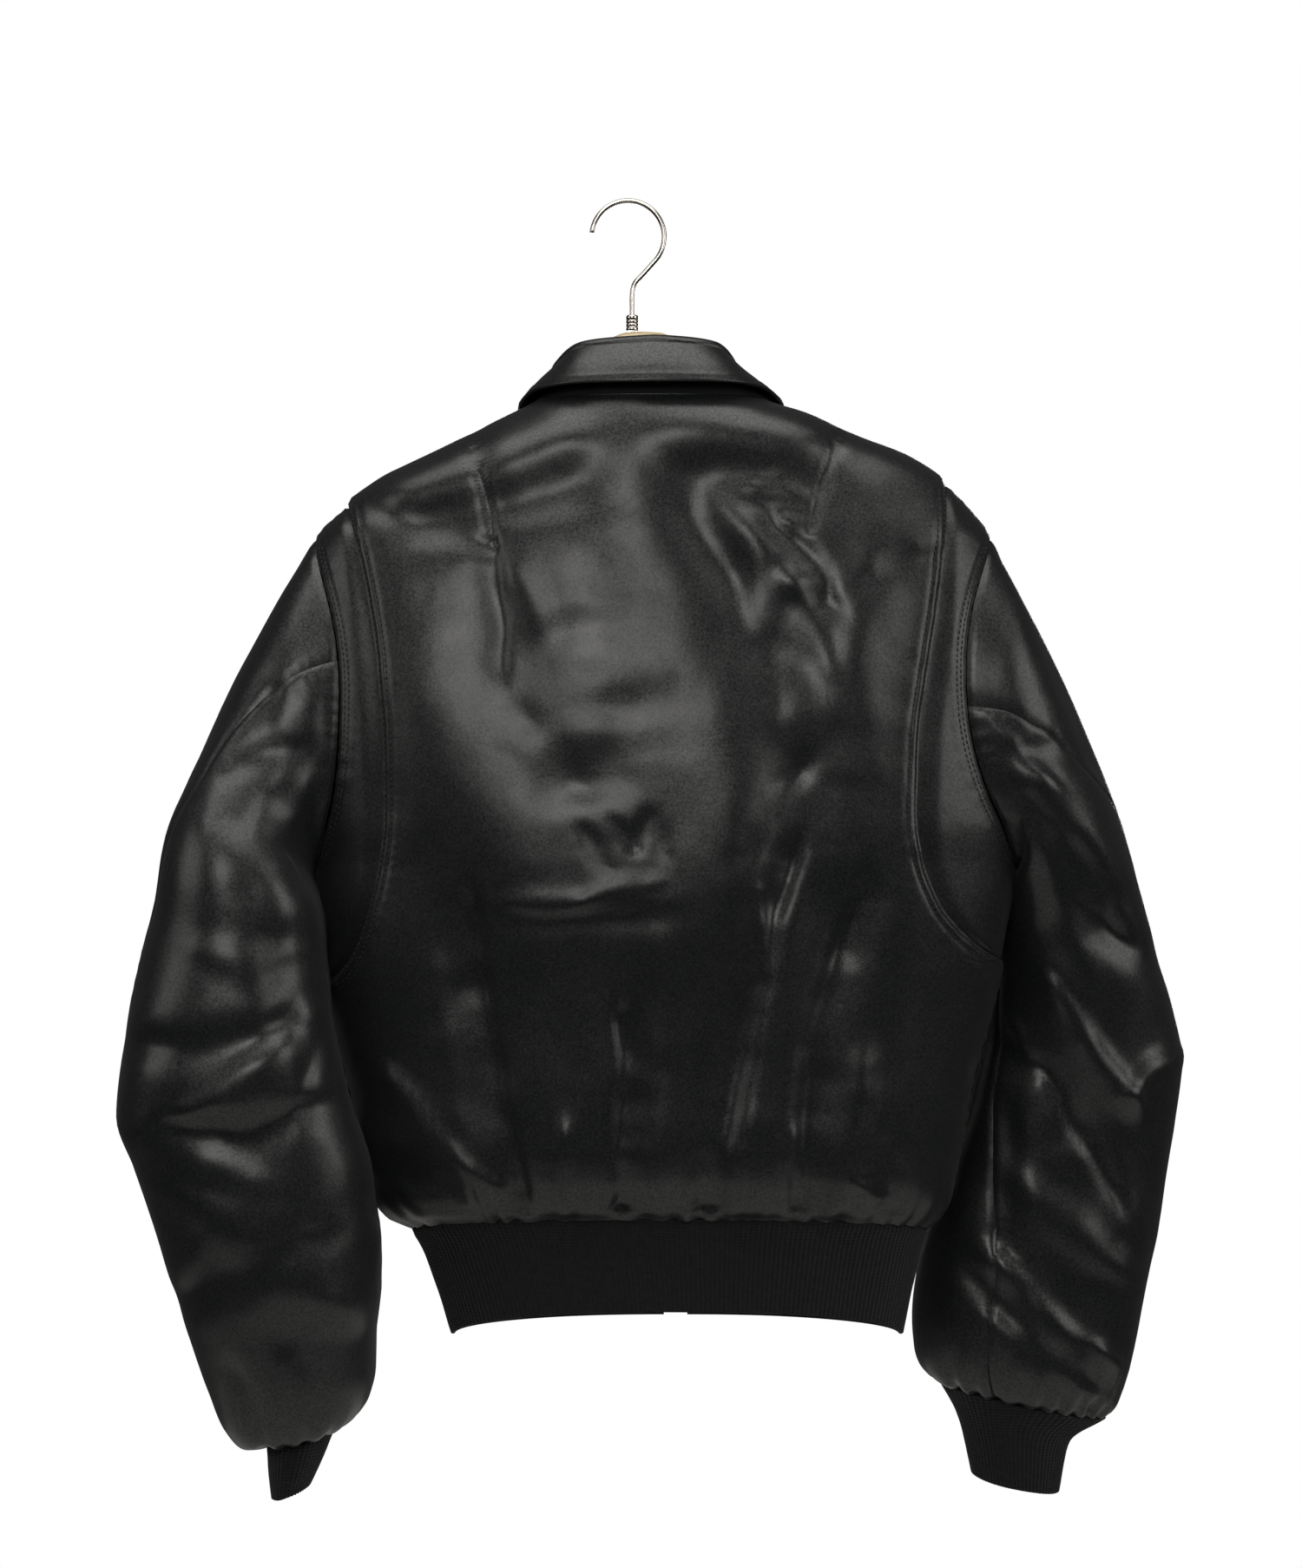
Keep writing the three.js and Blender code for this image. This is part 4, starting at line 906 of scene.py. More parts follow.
def satin_surface():
    satin = Surface("satin", Sheen_Weight=0.04, Sheen_Roughness=0.5)
    satin.colours(satin.noise(9, 3), (0.0050, 0.0062, 0.0063), (0.0080, 0.0092, 0.0092))
    patches = satin.noise(26, 3)
    grain = satin.noise(640, 3, 0.7)
    mottled = satin.added(satin.ranged(patches, 0.30, 0.36), satin.ranged(grain, -0.04, 0.06))
    satin.fill(satin.shader, {"Roughness": mottled, "Specular IOR Level": satin.ranged(grain, 0.26, 0.74)})
    satin.bump(patches, 0.12, 0.004)
    satin.bump(satin.noise(150, 3), 0.12, 0.0005)
    satin.bump(satin.bands(420, 0.6, "DIAGONAL"), 0.06, 0.0001)
    satin.bump(grain, 0.5, 0.00012)
    return satin


def lining_and_painted_shade_surface():
    lining_and_painted_shade = Surface("lining_and_painted_shade", Specular_IOR_Level=0.2, Roughness=0.75)
    # Darker and more matte than the satin: the lining's own colour, darkened as painted shade inside the
    # jacket and on the collar's stand under the leaf
    lining_and_painted_shade.colours(lining_and_painted_shade.noise(180, 3), (0.0022, 0.0024, 0.0025), (0.0040, 0.0043, 0.0044))
    lining_and_painted_shade.bump(lining_and_painted_shade.noise(700), 0.3, 0.0003)
    return lining_and_painted_shade


def rib_surface():
    rib = Surface("rib_knit", Specular_IOR_Level=0.2, Sheen_Weight=0.10, Sheen_Roughness=0.6, Roughness=0.95)
    rib.colours(rib.noise(240, 3), (0.0025, 0.0034, 0.0034), (0.0065, 0.0080, 0.0080), span=(0.25, 0.75))
    rib.bump(rib.bands(150, 2.5, "Z"), 0.5, 0.0005)
    rib.bump(rib.noise(900, 3, 0.7), 0.6, 0.0006)
    return rib


def thread_surface():
    thread = Surface("thread", Specular_IOR_Level=0.4, Roughness=0.6)
    thread.colours(thread.noise(300), (0.012, 0.013, 0.013), (0.02, 0.022, 0.022))
    thread.bump(thread.bands(900, 0.3, "DIAGONAL"), 0.3, 0.0002)
    return thread


def nickel_surface():
    nickel = Surface("nickel", Metallic=1.0)
    nickel.colours(nickel.noise(60, 3), (0.50, 0.465, 0.43), (0.66, 0.62, 0.575))
    nickel.fill(nickel.shader, {"Roughness": nickel.ranged(nickel.noise(140, 4), 0.16, 0.30)})
    nickel.bump(nickel.noise(700), 0.08, 0.0002)
    return nickel


def brass_surface():
    brass = Surface("black_brass", Metallic=1.0)
    brass.colours(brass.noise(400, 3), (0.10, 0.095, 0.09), (0.20, 0.185, 0.165), span=(0.35, 0.75))
    brass.fill(brass.shader, {"Roughness": brass.ranged(brass.noise(500, 3), 0.28, 0.46)})
    brass.bump(brass.noise(1500), 0.15, 0.0002)
    return brass


def wood_surface():
    wood = Surface("pale_wood", Roughness=0.38, Coat_Weight=0.4, Coat_Roughness=0.2)
    grain = wood.node("Mapping", "Vector", Vector=wood.place, Scale=(3, 40, 40))
    tones = (0.30, 0.215, 0.105), (0.47, 0.365, 0.205), (0.60, 0.49, 0.30)
    wood.colours(wood.noise(4, 6, 0.65, grain), *tones, span=(0.25, 0.75))
    wood.bump(wood.noise(9, 5, 0.7, grain), 0.2, 0.0006)
    return wood


def tape_surface():
    tape = Surface("zip_tape", Specular_IOR_Level=0.3, Roughness=0.85)
    tape.colours(tape.noise(260), (0.010, 0.011, 0.011), (0.018, 0.019, 0.019))
    tape.bump(tape.bands(300, 0.4, "Z"), 0.4, 0.0003)
    return tape


SATIN = satin_surface()
LINING_AND_PAINTED_SHADE = lining_and_painted_shade_surface()
RIB = rib_surface()
THREAD = thread_surface()
NICKEL = nickel_surface()
BRASS = brass_surface()
WOOD = wood_surface()
TAPE = tape_surface()

# Stitches, gathered into one mesh at the end

stitches = []


def sew(path, normals):
    """Adds a row of thread stitches along a path that lies on the cloth."""
    run = run_along(path)
    pace = STITCH["length"] + STITCH["gap"]
    start = np.arange(pace, run[-1] - pace, pace)
    first = points_at(path, run, start)[:, None, None]
    last = points_at(path, run, start + STITCH["length"])[:, None, None]
    up = unit(points_at(normals, run, start))[:, None, None]
    side = unit(np.cross(unit(last - first), up))
    share = np.linspace(0, 1, STITCH["rings"])[:, None, None]
    swell = np.sin(math.pi * (STITCH["end"] + (1 - 2 * STITCH["end"]) * share))
    turns = full_turn(STITCH["sides"])[:, None]
    wide = STITCH["half_wide"] * swell
    centre = first + (last - first) * share + up * (STITCH["rise"] * swell)
    points = centre + side * (wide * np.cos(turns)) + up * (wide * np.sin(turns))
    stitches.extend(points.reshape(len(start), -1, 3))


def sew_beside(grid, normals, edge, distances, span=(0.0, 1.0)):
    """Rows of stitches at distances from the first or last edge of a grid, over a span of its rows."""
    if edge == "last":
        grid, normals = grid[:, ::-1], normals[:, ::-1]
    along = unit(np.gradient(grid[:, 0], axis=0))
    across = unit(grid[:, 4] - grid[:, 0])
    slant = np.sqrt(np.clip(1 - np.sum(along * across, axis=1) ** 2, 0.2, 1))
    first, last = (int(share * (len(grid) - 1)) for share in span)
    for distance in distances:
        path, tops = [], []
        for row in range(first, last + 1):
            run = run_along(grid[row])
            path.append(points_at(grid[row], run, distance / slant[row]))
            tops.append(points_at(normals[row], run, distance / slant[row]))
        sew(np.array(path), np.array(tops))


def topstitch():
    size = STITCH["rings"] * STITCH["sides"]
    tube = tube_faces(STITCH["rings"], STITCH["sides"])
    faces = [[number * size + corner for corner in face] for number in range(len(stitches)) for face in tube]
    dressed(new_object("topstitch", np.concatenate(stitches), faces, THREAD, 80), "satin")


# Cloth pieces

def cloth_piece(name, node, outer, normals):
    """A hanging piece of satin from its grid and its normals; its inner face takes the dark lining, darkened
    as painted shade inside the jacket.
    """
    obj = shell(name, outer, outer - normals * CLOTH_WALL, SATIN)
    # Inner faces in the dark lining: the real lining, made darker as painted shade inside the jacket
    lined_with_painted_shade(obj, np.repeat((0, 1), (outer.shape[0] - 1) * (outer.shape[1] - 1)))
    dressed(obj, "satin", node)


def torso_rows(first, last):
    """Rows of the torso, close together at both ends of the armhole."""
    hole = SHOULDER_TIP + (ARMPIT - SHOULDER_TIP) * (1 - np.cos(np.radians(HOLE_TURNS))) / 2
    above = np.linspace(NECK, SHOULDER_TIP, SHOULDER_ROWS)[:-1]
    below = np.linspace(ARMPIT, HEM_SEAM, BODY_ROWS)[1:]
    rows = np.concatenate([above, hole, below])
    return np.concatenate([[first], rows[(rows > first + 0.5) & (rows < last - 0.5)], [last]])


def spread(first, last, columns):
    """Angles on each row, evenly from the first to the last."""
    return first[:, None] + (last - first)[:, None] * np.linspace(0, 1, columns + 1)


def torso_piece(node, rows, angles, relief, seams_of):
    """A panel of the torso through the given angles on each row; returns its grid and normals."""
    downs = np.repeat(rows[:, None], angles.shape[1], axis=1)
    base = torso(angles, downs)
    normals = torso_normal(angles, downs)
    height = relief(base, angles, downs) + seam_relief(base, seams_of(base)) + touch_relief(base)
    outer = base + normals * height[..., None]
    cloth_piece(f"{node}_cloth", node, outer, normals)
    return outer, normals


def torso_relief(base, angle, down, facing):
    """Folds of the back or the front, which die away at the armhole and the seams."""
    seam = side_angle(down, facing)
    side = (seam - np.abs(angle)) if facing > 0 else (np.abs(angle) - seam)
    fade = ease(side / SIDE_FADE) * ease((HEM_SEAM - down) / HEM_FADE) * ease((down - NECK) / HEM_FADE)
    folds, dents = (BACK_FOLDS, BACK_DENTS) if facing > 0 else (FRONT_FOLDS, FRONT_DENTS)
    x, z = base[..., 0], base[..., 2]
    folded = fold_relief(folds, x, z) + dent_relief(dents, x, z)
    if facing > 0:
        folded = folded + tilt_relief(BACK_TILTS, x, z)
    return fade * (folded + crumple(base))


def drape_relief(base, down):
    z = base[..., 2]
    bulge = DRAPE["bulge"] * np.exp(-((z - DRAPE["line"]) / DRAPE["above"]) ** 2)
    hollow = DRAPE["hollow"] * np.exp(-((z - DRAPE["hollow_at"]) / DRAPE["below"]) ** 2)
    return ease((down - DRAPE["start"]) / DRAPE["start_ramp"]) * (bulge - hollow)


def edge_lift(base):
    """How far the back panel stands out along its folded edges."""
    total = np.zeros(base.shape[:-1])
    for side in (-1, 1):
        rows = np.linspace(*BACK_EDGE_SPAN[side], EDGE_POINTS)
        off, _ = along_line(base, torso(side * drawn_edge_angle(side, rows), rows))
        total = np.maximum(total, EDGE_LIFT * ease(1 - (off - EDGE_FLAT) / EDGE_RAMP))
    return total


def back_panel():
    rows = torso_rows(NECK, HEM_SEAM)
    core = np.full_like(rows, BACK_CORE)

    def outside(side):
        return spread(side * core, side * back_edge_angle(side, rows), BACK_SIDE_COLUMNS)

    def relief(base, angle, down):
        folded = torso_relief(base, angle, down, 1) + drape_relief(base, down)
        return folded * ease((HEM_SEAM - down) / HEM_FADE) + edge_lift(base)

    def seams_of(base):
        seams = [sewn("back_hem", base[-1])]
        for side, column in ((-1, 0), (1, -1)):
            first, last = BACK_EDGE_SPAN[side]
            seams.append(sewn("back_edge", base[(rows >= first) & (rows <= last), column], side))
            seams.append(sewn("side", base[rows >= last, column]))
            seams.append(sewn("back_shoulder", base[rows <= first, column]))
        return seams

    angles = [outside(-1)[:, ::-1], spread(-core, core, BACK_CORE_COLUMNS)[:, 1:-1], outside(1)]
    grid, normals = torso_piece("back_panel", rows, np.concatenate(angles, axis=1), relief, seams_of)
    for side, edge in ((-1, "first"), (1, "last")):
        first, last = BACK_EDGE_SPAN[side]
        held = (rows >= first + EDGE_START) & (rows <= last)
        sew_beside(grid[held], normals[held], edge, SEAMS["back_edge"]["rows"])


def gusset(side, name):
    first, last = BACK_EDGE_SPAN[side]
    rows = torso_rows(first, last + GUSSET_PAST)
    tucked = back_edge_angle(side, rows) - np.degrees(GUSSET_TUCK / half_width(side, rows))

    def relief(base, angle, down):
        past = (np.abs(angle) - back_edge_angle(side, down)) / GUSSET_RAMP
        fade = ease((side_angle(down, 1) - np.abs(angle)) / GUSSET_FADE)
        return GUSSET_CRUMPLE * crumple(base) * fade - GUSSET_SINK * ease(1 - past)

    def seams_of(base):
        return [sewn("gusset_hole", base[rows <= ARMPIT, -1], side)]

    grid, normals = torso_piece(
        f"gusset_{name}", rows, spread(side * tucked, side * side_angle(rows, 1), GUSSET_COLUMNS),
        relief, seams_of)
    hole = (rows >= SHOULDER_TIP + HOLE_START) & (rows <= ARMPIT - 1)
    sew_beside(grid[hole], normals[hole], "last", SEAMS["gusset_hole"]["rows"])


def front_panel(side, name):
    rows = torso_rows(NECK, HEM_SEAM)
    zip_edge = 180 - angle_at(FRONT_EDGE, half_width(side, rows))

    def relief(base, angle, down):
        drape = (FRONT_DRAPE * drape_relief(base, down) * ease((HEM_SEAM - down) / HEM_FADE)
                 * ease((np.abs(angle) - 90) / FRONT_SIDE_FADE))
        return (torso_relief(base, angle, down, -1) + drape) * ease((180 - np.abs(angle)) / ZIP_FADE)

    def seams_of(base):
        return [
            sewn("front_hem", base[-1], side),
            sewn("front_hole", base[(rows >= SHOULDER_TIP) & (rows <= ARMPIT), 0]),
            sewn("side", base[rows >= ARMPIT, 0]),
            sewn("front_shoulder", base[rows <= SHOULDER_TIP, 0]),
            sewn("front_zip", base[:, -1]),
        ]

    grid, normals = torso_piece(
        f"front_{name}", rows, spread(side * side_angle(rows, -1), side * zip_edge, FRONT_COLUMNS),
        relief, seams_of)
    sew_beside(grid, normals, "last", SEAMS["front_zip"]["rows"], (0.06, 1.0))
    hole = (rows >= SHOULDER_TIP + HOLE_START) & (rows <= ARMPIT - 1)
    sew_beside(grid[hole], normals[hole], "first", SEAMS["front_hole"]["rows"])


def sleeve_relief(arm, base, turn, ring):
    facing = np.sin(np.radians(turn))
    ends = ease(ring / SLEEVE_START_FADE) * ease((SLEEVE_END - ring) / SLEEVE_FADE)
    x, z = base[..., 0], base[..., 2]
    back = ease(facing / EDGE_ON) * (fold_relief(arm["folds"], x, z) + tilt_relief(SLEEVE_TILTS, x, z))
    front = ease(-facing / EDGE_ON) * fold_relief(SLEEVE_FRONT_FOLDS[arm["side"]], x, z)
    return ends * (back + front + SLEEVE_CRUMPLE * crumple(base))


def sleeve_piece(arm, node, first_seam, last_seam):
    """A piece of a sleeve between two of its seams, with its rows closer together near the armhole."""
    near = np.linspace(0, ARMHOLE_BLEND, SLEEVE_NEAR_ROWS)
    rings = np.concatenate([near[:-1], np.linspace(ARMHOLE_BLEND, SLEEVE_END, SLEEVE_FAR_ROWS)])
    turns = spread(first_seam(rings), last_seam(rings), SLEEVE_COLUMNS)
    grid_rings = np.repeat(rings[:, None], SLEEVE_COLUMNS + 1, axis=1)

    def surface(turn, ring):
        return sleeve(arm, turn, ring)

    base = surface(turns, grid_rings)
    normals = tube_normal(surface, turns, grid_rings, SLEEVE_END)
    seams = [sewn("sleeve_hole", base[0]), sewn("sleeve_end", base[-1]),
             sewn("sleeve_seam", base[:, 0]), sewn("sleeve_seam", base[:, -1])]
    height = sleeve_relief(arm, base, turns, grid_rings) + seam_relief(base, seams) + touch_relief(base)
    cloth_piece(f"{node}_cloth", node, base + normals * height[..., None], normals)


def both_sleeves():
    for name, arm in ARMS.items():
        elbow, underarm = arm["seams"]["elbow"], arm["seams"]["underarm"]
        sleeve_piece(arm, f"sleeve_under_{name}", elbow, underarm)
        sleeve_piece(arm, f"sleeve_upper_{name}", underarm, lambda ring: 360 + elbow(ring))


# Ribs

def rib_shell(node, base, normals, closed, turned):
    """A knitted band whose ribs stand out; turned names the rows whose rims are rounded."""
    rows, columns = base.shape[:2]
    phase = 2 * math.pi * np.arange(columns) / POINTS_A_RIB
    share = np.linspace(0, 1, rows)[:, None]
    ribs = KNIT["rib"] * np.cos(phase)[None, :] + KNIT["uneven"] * soft_noise(base, KNIT["uneven_size"], 1.7)
    ribs = ribs * (KNIT["rim_rib"] + (1 - KNIT["rim_rib"]) * ease((1 - share) / KNIT["rim"]))
    waves = KNIT["waves"] * soft_noise(base, KNIT["wave_size"], 2.4)
    outer = base + normals * (ribs + waves - KNIT["sink"])[..., None]
    inner = base + normals * (waves - RIB_WALL)[..., None]
    for row in turned:
        middle = (outer[row] + inner[row]) / 2
        outer[row] = (outer[row] + middle) / 2
        inner[row] = (inner[row] + middle) / 2
    obj = shell(f"{node}_knit", outer, inner, RIB, closed, sharp=80)
    dressed(obj, "rib", node)


def hem_band():
    fine = np.linspace(-HEM_TURN, HEM_TURN, 3000)
    run = run_along(torso(fine, (HEM_SEAM + HEM_BOTTOM) / 2))
    columns = int(run[-1] / RIB_PITCH) * POINTS_A_RIB + 1
    share = np.interp(np.linspace(0, run[-1], columns), run, fine) / HEM_TURN
    left, right = ((180 - angle_at(FRONT_EDGE, half_width(side, HEM_ROWS)))[:, None] for side in (-1, 1))
    angles = share * np.where(share < 0, left, right)
    downs = np.repeat(HEM_ROWS[:, None], columns, axis=1)
    normals = torso_normal(angles, np.maximum(downs, HEM_SEAM + 4))
    sink = HEM_SINK * ease(1 - (downs - HEM_SEAM) / HEM_SINK_RAMP)
    base = torso(angles, downs) - normals * sink[..., None]
    rib_shell("hem_band", base, normals, False, (-1, 0))


def cuffs():
    fine = np.linspace(0, 360, 1400)
    for name, arm in ARMS.items():
        def surface(turn, ring):
            return arm_ring(arm["cuff"], turn, ring)

        run = run_along(surface(fine, 1))
        columns = int(run[-1] / RIB_PITCH) * POINTS_A_RIB
        turns = np.interp(np.arange(columns) / columns * run[-1], run, fine)
        grid_turns, grid_rings = np.meshgrid(turns, CUFF_RINGS)
        normals = tube_normal(surface, grid_turns, grid_rings, 2)
        base = surface(grid_turns, grid_rings)
        rib_shell(f"cuff_{name}", base, normals, True, (-1,))


# Collar

def collar_section(angle):
    """The collar's middle line at an angle round the neck: up the stand, over the roll, down the leaf."""
    side = 1 if angle >= 0 else -1
    size = abs(angle)
    seam = torso(angle, NECK)
    out = unit(np.cross(torso(angle + 1, NECK) - torso(angle - 1, NECK), (0, 0, 1)) * (1, 1, 0))
    fold = seam + out * COLLAR["foldOut"](size)
    fold[2] = COLLAR["foldZ"](size)
    edge = torso(side * COLLAR["edgeAngle"](size), COLLAR["edgeDown"](size))
    edge = edge + out * COLLAR["edgeOut"](size) + (0, 0, COLLAR["edgeUp"](size))
    lean = math.sin(math.radians(size)) * (angle > 0)
    fold = fold - (COLLAR_LEAN["fold"] * lean, 0, 0)
    edge = edge + (-COLLAR_LEAN["edge"] * lean, 0, COLLAR_LEAN["lift"] * lean)
    foot = seam - out * (COLLAR_WALL / 2)
    turns = COLLAR_ROLL_TURNS[:, None]
    roll = fold + COLLAR_ROLL * (np.cos(turns) * out + np.sin(turns) * (0, 0, 1))
    stand = foot + (roll[0] - foot) * COLLAR_STAND[:, None]
    share = COLLAR_LEAF[:, None]
    leaf = roll[-1] + (edge - roll[-1]) * share + out * (COLLAR_LEAF_CROWN * np.sin(share * math.pi))
    return np.concatenate([stand, roll, leaf])


def collar():
    angles = np.linspace(-COLLAR_END, COLLAR_END, COLLAR_COLUMNS + 1)
    middle = np.array([collar_section(angle) for angle in angles])
    normals = unit(np.cross(np.gradient(middle, axis=0), np.gradient(middle, axis=1)))
    waves = COLLAR_CRUMPLE * crumple(middle) + seam_relief(middle, [sewn("collar_edge", middle[:, -1])])
    half = np.full(middle.shape[:2], COLLAR_WALL / 2)
    half[:, -3:] *= COLLAR_RIM
    outer = middle + normals * (half + waves)[..., None]
    inner = middle + normals * (0.5 * waves - half)[..., None]
    obj = shell("collar_cloth", outer, inner, SATIN)
    # Both faces of the collar's stand take the dark lining material, as painted shade under the leaf
    stand_painted_shade = np.arange(middle.shape[1] - 1) < len(COLLAR_STAND) - 1
    lined_with_painted_shade(obj, np.tile(stand_painted_shade, 2 * (len(angles) - 1)))
    dressed(obj, "satin", "collar")
    sew_beside(outer, normals, "last", SEAMS["collar_edge"]["rows"])


# Hook and hanger

def tube_object(name, path, radius, sides, surface):
    """A round wire along a smooth path in the plane Y = 0."""
    side = np.array([0.0, 1.0, 0.0])
    up = unit(np.cross(unit(np.gradient(path, axis=0)), side))
    turns = full_turn(sides)[:, None]
    swell = np.full((len(path), 1, 1), radius)
    swell[0] *= HOOK["tip_share"]
    ring = np.cos(turns) * up[:, None] + np.sin(turns) * side
    points = (path[:, None] + ring * swell).reshape(-1, 3)
    return new_object(name, points, oriented(points, tube_faces(len(path), sides)), surface, 40)


def smooth_path(corners, count):
    """Catmull-Rom curve through the corners, evenly resampled."""
    corners = np.array(corners, float)
    padded = np.concatenate([[2 * corners[0] - corners[1]], corners, [2 * corners[-1] - corners[-2]]])
    points = []
    for a, b, c, d in zip(padded[:-3], padded[1:-2], padded[2:-1], padded[3:]):
        for s in np.linspace(0, 1, 12, endpoint=False):
            points.append(0.5 * (2 * b + (c - a) * s + (2 * a - 5 * b + 4 * c - d) * s ** 2
                                 + (3 * b - a - 3 * c + d) * s ** 3))
    points = np.array(points + [corners[-1]])
    run = run_along(points)
    return points_at(points, run, np.linspace(0, run[-1], count))


def hook():
    centre = HOOK["wire"] - HOOK["radius"]
    turns = np.radians(np.linspace(HOOK["tip"], HOOK["end"], HOOK["ring_points"]))
    ring = [(HOOK["centre_x"] + HOOK["radius"] * math.cos(t), 0, centre + HOOK["radius"] * math.sin(t))
            for t in turns]
    path = smooth_path(ring + [(x, 0, z) for x, z in HOOK_NECK], HOOK["points"])
    dressed(tube_object("hook_wire", path, HOOK["wire"], HOOK["sides"], NICKEL), "steel", "hanger_hook")


def ferrule():
    """The ferrule turned from its profile, with three grooves round it."""
    bore, radius, rim = FERRULE["bore"], FERRULE["radius"], FERRULE["rim"]
    foot, top = HOOK["foot"], FERRULE["top"]
    profile = [(bore, foot), (rim, foot), (radius, foot + 0.5)]
    for level in FERRULE["grooves"]:
        profile += [(radius, level - 0.5), (FERRULE["groove"], level), (radius, level + 0.5)]
    profile += [(radius, top - 1), (rim, top - 0.4), (FERRULE["lip"], top), (bore, top)]
    sides = FERRULE["sides"]
    points = np.array([(FERRULE["x"] + r * math.cos(t), r * math.sin(t), z)
                       for r, z in profile for t in full_turn(sides)])
    faces = (grid_faces(len(profile) + 1, sides, 0, True) % len(points)).tolist()
    turned = new_object("ferrule_turned", points, oriented(points, faces), NICKEL, 40)
    dressed(turned, "steel", "hanger_ferrule")


def shoulder_inside(x):
    """Height of the hanger's top under the shoulder's cloth."""
    levels = np.arange(NECK, SHOULDER_TIP, 0.25)
    side = TORSO["left" if x < 0 else "right"]
    level = levels[min(np.searchsorted(np.abs(side(levels)), abs(x)), len(levels) - 1)]
    slope = abs(4 / (side(level + 2) - side(level - 2)))
    return -level - (CLOTH_WALL + HANGER["seat"]) * math.hypot(1, slope)


def hanger_body():
    left, right, sides = HANGER["left"], HANGER["right"], HANGER["sides"]
    end = HANGER["end_length"]
    xs = np.concatenate([[left], np.linspace(left + end, right - end, HANGER["rows"]), [right]])
    outside = (xs < HANGER["neck_left"]) | (xs > HANGER["neck_right"])
    tops = np.where(outside, [shoulder_inside(x) for x in xs], HANGER_NECK["top"](xs))
    tops = np.convolve(np.pad(tops, 2, mode="edge"), np.ones(5) / 5, mode="valid") - HANGER["clear"]
    high = HANGER_SECTION["halfHigh"](xs)[:, None]
    thick = HANGER_SECTION["halfThick"](xs)[:, None]
    turns = full_turn(sides)
    scale = np.ones((len(xs), 1))
    scale[[0, -1]] = HANGER["end_share"]
    x = np.repeat(xs[:, None], sides, axis=1)
    y = thick * np.cos(turns) * scale
    z = tops[:, None] - high + high * np.minimum(np.sin(turns), HANGER["flat_top"]) * scale
    points = np.stack([x, y, z], axis=-1).reshape(-1, 3)
    faces = oriented(points, tube_faces(len(xs), sides))
    dressed(new_object("hanger_rod", points, faces, WOOD, 50), "wood", "hanger_body")


# Zip

def zip_closure():
    rows = np.linspace(ZIP["top"], ZIP["bottom"], ZIP["rows"])
    centre = np.full_like(rows, 180.0)
    point, normal = torso(centre, rows), torso_normal(centre, rows)
    across, rise = np.array(ZIP_SECTION).T
    outer = point[:, None] + normal[:, None] * rise[:, None] + across[:, None] * (1.0, 0, 0)
    tape = shell("zip_tape", outer, outer - normal[:, None] * ZIP["thick"], TAPE)
    dressed(tape, "zip", "zip")
    zip_teeth(point, normal)


def zip_teeth(point, normal):
    """Teeth that reach across the middle from both sides in turn."""
    run = run_along(point)
    at = np.arange(ZIP["pitch"], run[-1] - ZIP["pitch"], ZIP["pitch"] / 2)
    centres, outs = points_at(point, run, at), unit(points_at(normal, run, at))
    tooth = tube_faces(len(TOOTH_LEVELS), len(TOOTH_OUTLINE))
    points, faces = [], []
    for number, (centre, out) in enumerate(zip(centres, outs)):
        side = 1 if number % 2 else -1
        along = unit(np.cross(out, (1, 0, 0)))
        faces += [[len(points) + corner for corner in face[::side]] for face in tooth]
        for lift, shrink in TOOTH_LEVELS:
            for u, v in TOOTH_OUTLINE:
                reach = side * (TOOTH_MIDDLE + (u - TOOTH_MIDDLE) * shrink)
                points.append(centre + out * lift + along * (v * shrink) + (reach, 0, 0))
    points = np.array(points)
    dressed(new_object("zip_teeth", points, oriented(points, faces), BRASS, 30), "zip_metal")


def metal_nodes():
    """The slider and its pull tab stay as they are, in blackened brass with softened edges."""
    for name in ("zip_slider", "zip_pull"):
        obj = frame["nodes"][name]
        obj.data.materials.clear()
        obj.data.materials.append(BRASS.material)
        soft = obj.modifiers.new("edges", "BEVEL")
        soft.width = METAL_EDGE
        soft.segments = 2
        soft.limit_method = "ANGLE"


# Light, ground and camera

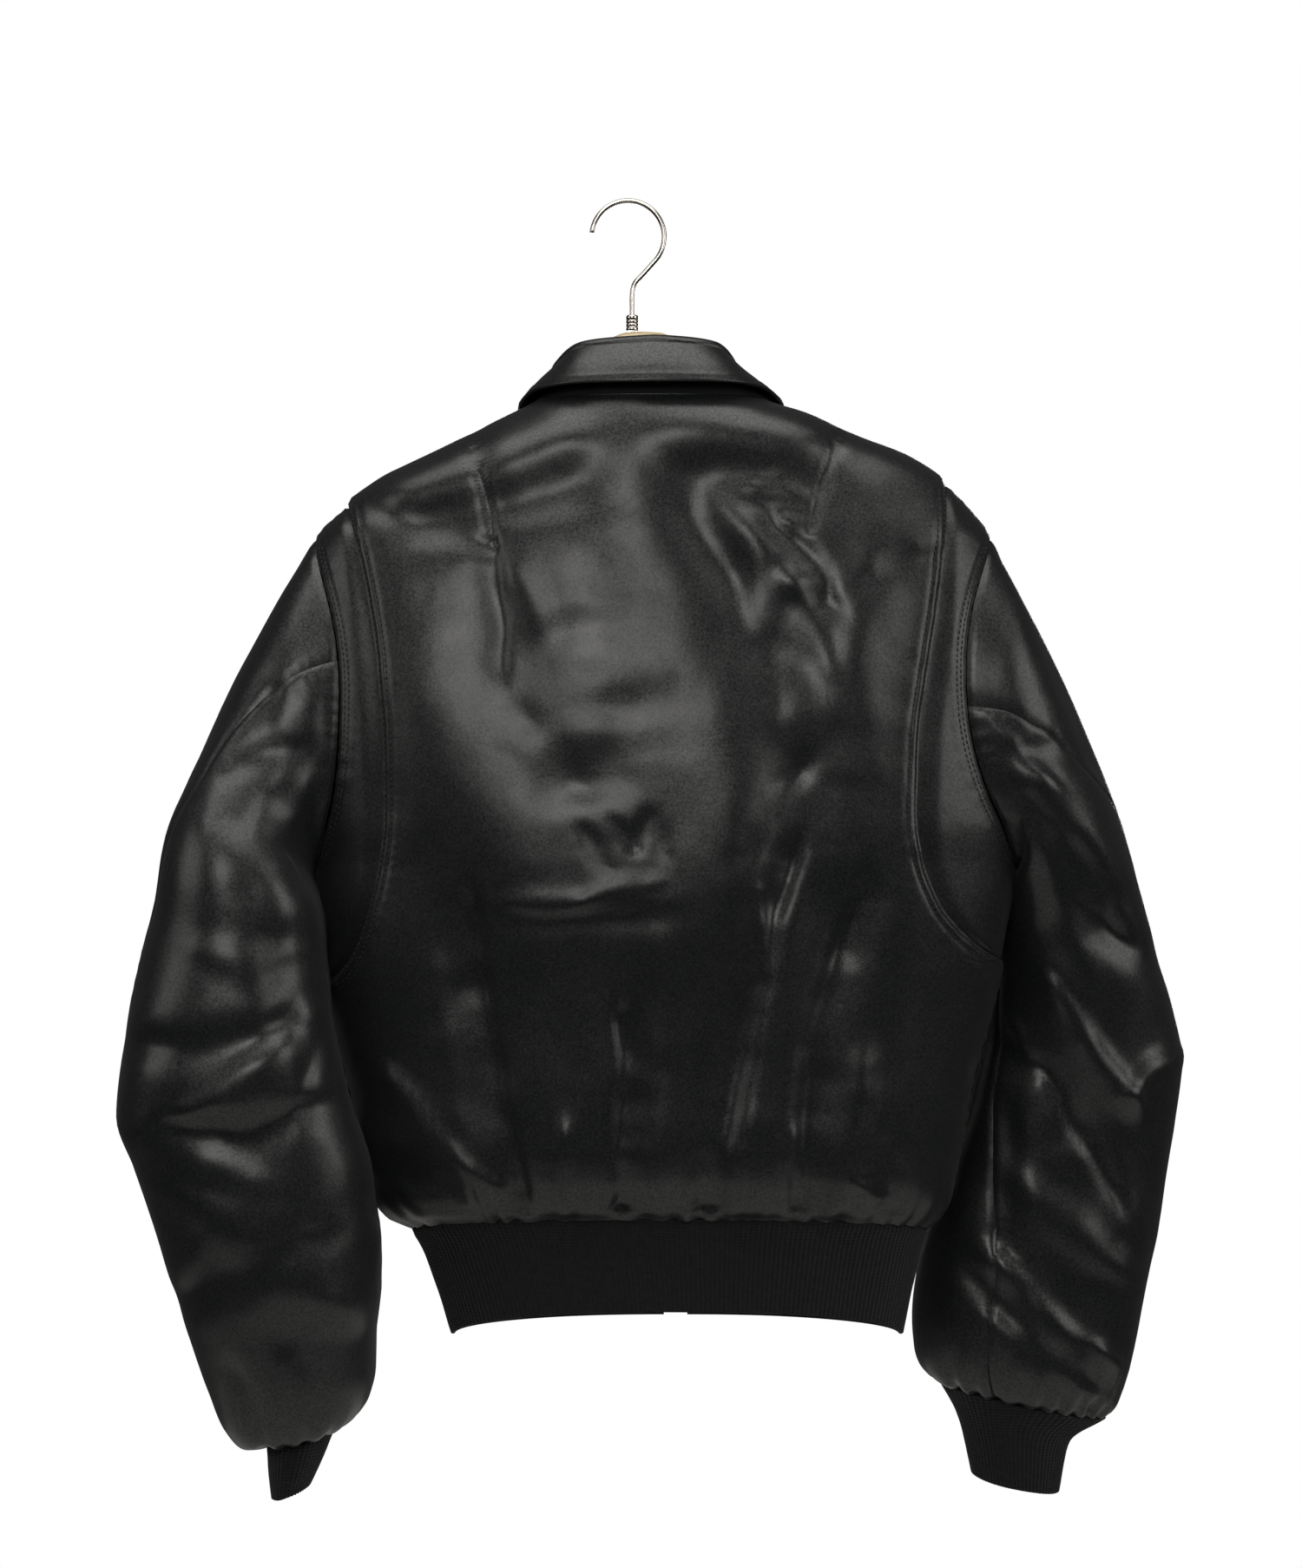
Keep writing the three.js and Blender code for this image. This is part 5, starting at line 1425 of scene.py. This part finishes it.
def lights():
    for row in LIGHTS:
        data = bpy.data.lights.new(row["name"], "AREA")
        data.shape = "RECTANGLE"
        data.size = row["width"]
        data.size_y = row["height"]
        data.energy = row["watts"]
        data.color = LIGHT_COLOUR
        obj = bpy.data.objects.new(row["name"], data)
        obj.location = (row["x"], row["y"], row["z"])
        aim = Vector((row["toX"] - row["x"], -row["y"], row["toZ"] - row["z"]))
        obj.rotation_euler = aim.to_track_quat("-Z", "Y").to_euler()
        bpy.context.scene.collection.objects.link(obj)


def world():
    """A white studio that shows behind the jacket and lights it only faintly."""
    made = bpy.data.worlds.new("studio")
    bpy.context.scene.world = made
    made.use_nodes = True
    tree = made.node_tree
    back = tree.nodes["Background"]
    back.inputs["Color"].default_value = (1.0, 1.0, 1.0, 1)
    path = tree.nodes.new("ShaderNodeLightPath")
    strength = tree.nodes.new("ShaderNodeMapRange")
    strength.inputs["To Min"].default_value = STUDIO["light"]
    strength.inputs["To Max"].default_value = STUDIO["seen"]
    tree.links.new(path.outputs["Is Camera Ray"], strength.inputs["Value"])
    tree.links.new(strength.outputs["Result"], back.inputs["Strength"])


def ground():
    pale = Surface("floor", Roughness=0.7)
    pale.colours(pale.noise(3), (0.60,) * 3, (0.65,) * 3)
    radius, sides = FLOOR["radius"], FLOOR["sides"]
    points = [(FLOOR["x"] + radius * math.cos(t), radius * math.sin(t), FLOOR["z"]) for t in full_turn(sides)]
    new_object("floor", np.array(points), [list(range(sides))], pale)


def camera():
    data = bpy.data.cameras.new("camera")
    data.sensor_fit = "VERTICAL"
    data.sensor_height = CAMERA["sensor"]
    data.lens = CAMERA["sensor"] * CAMERA["focal_px"] / CAMERA["image_height"]
    obj = bpy.data.objects.new("camera", data)
    obj.location = (CAMERA["x"] * MM, CAMERA["y"] * MM, CAMERA["z"] * MM)
    obj.rotation_euler = (math.radians(90), 0, 0)
    bpy.context.scene.collection.objects.link(obj)
    bpy.context.scene.camera = obj


camera()
hanger_body()
hook()
ferrule()
back_panel()
for side_name, side_number in (("left", -1), ("right", 1)):
    gusset(side_number, side_name)
    front_panel(side_number, side_name)
both_sleeves()
hem_band()
cuffs()
collar()
zip_closure()
metal_nodes()
topstitch()
lights()
world()
ground()
bpy.context.scene.view_settings.view_transform = "Standard"
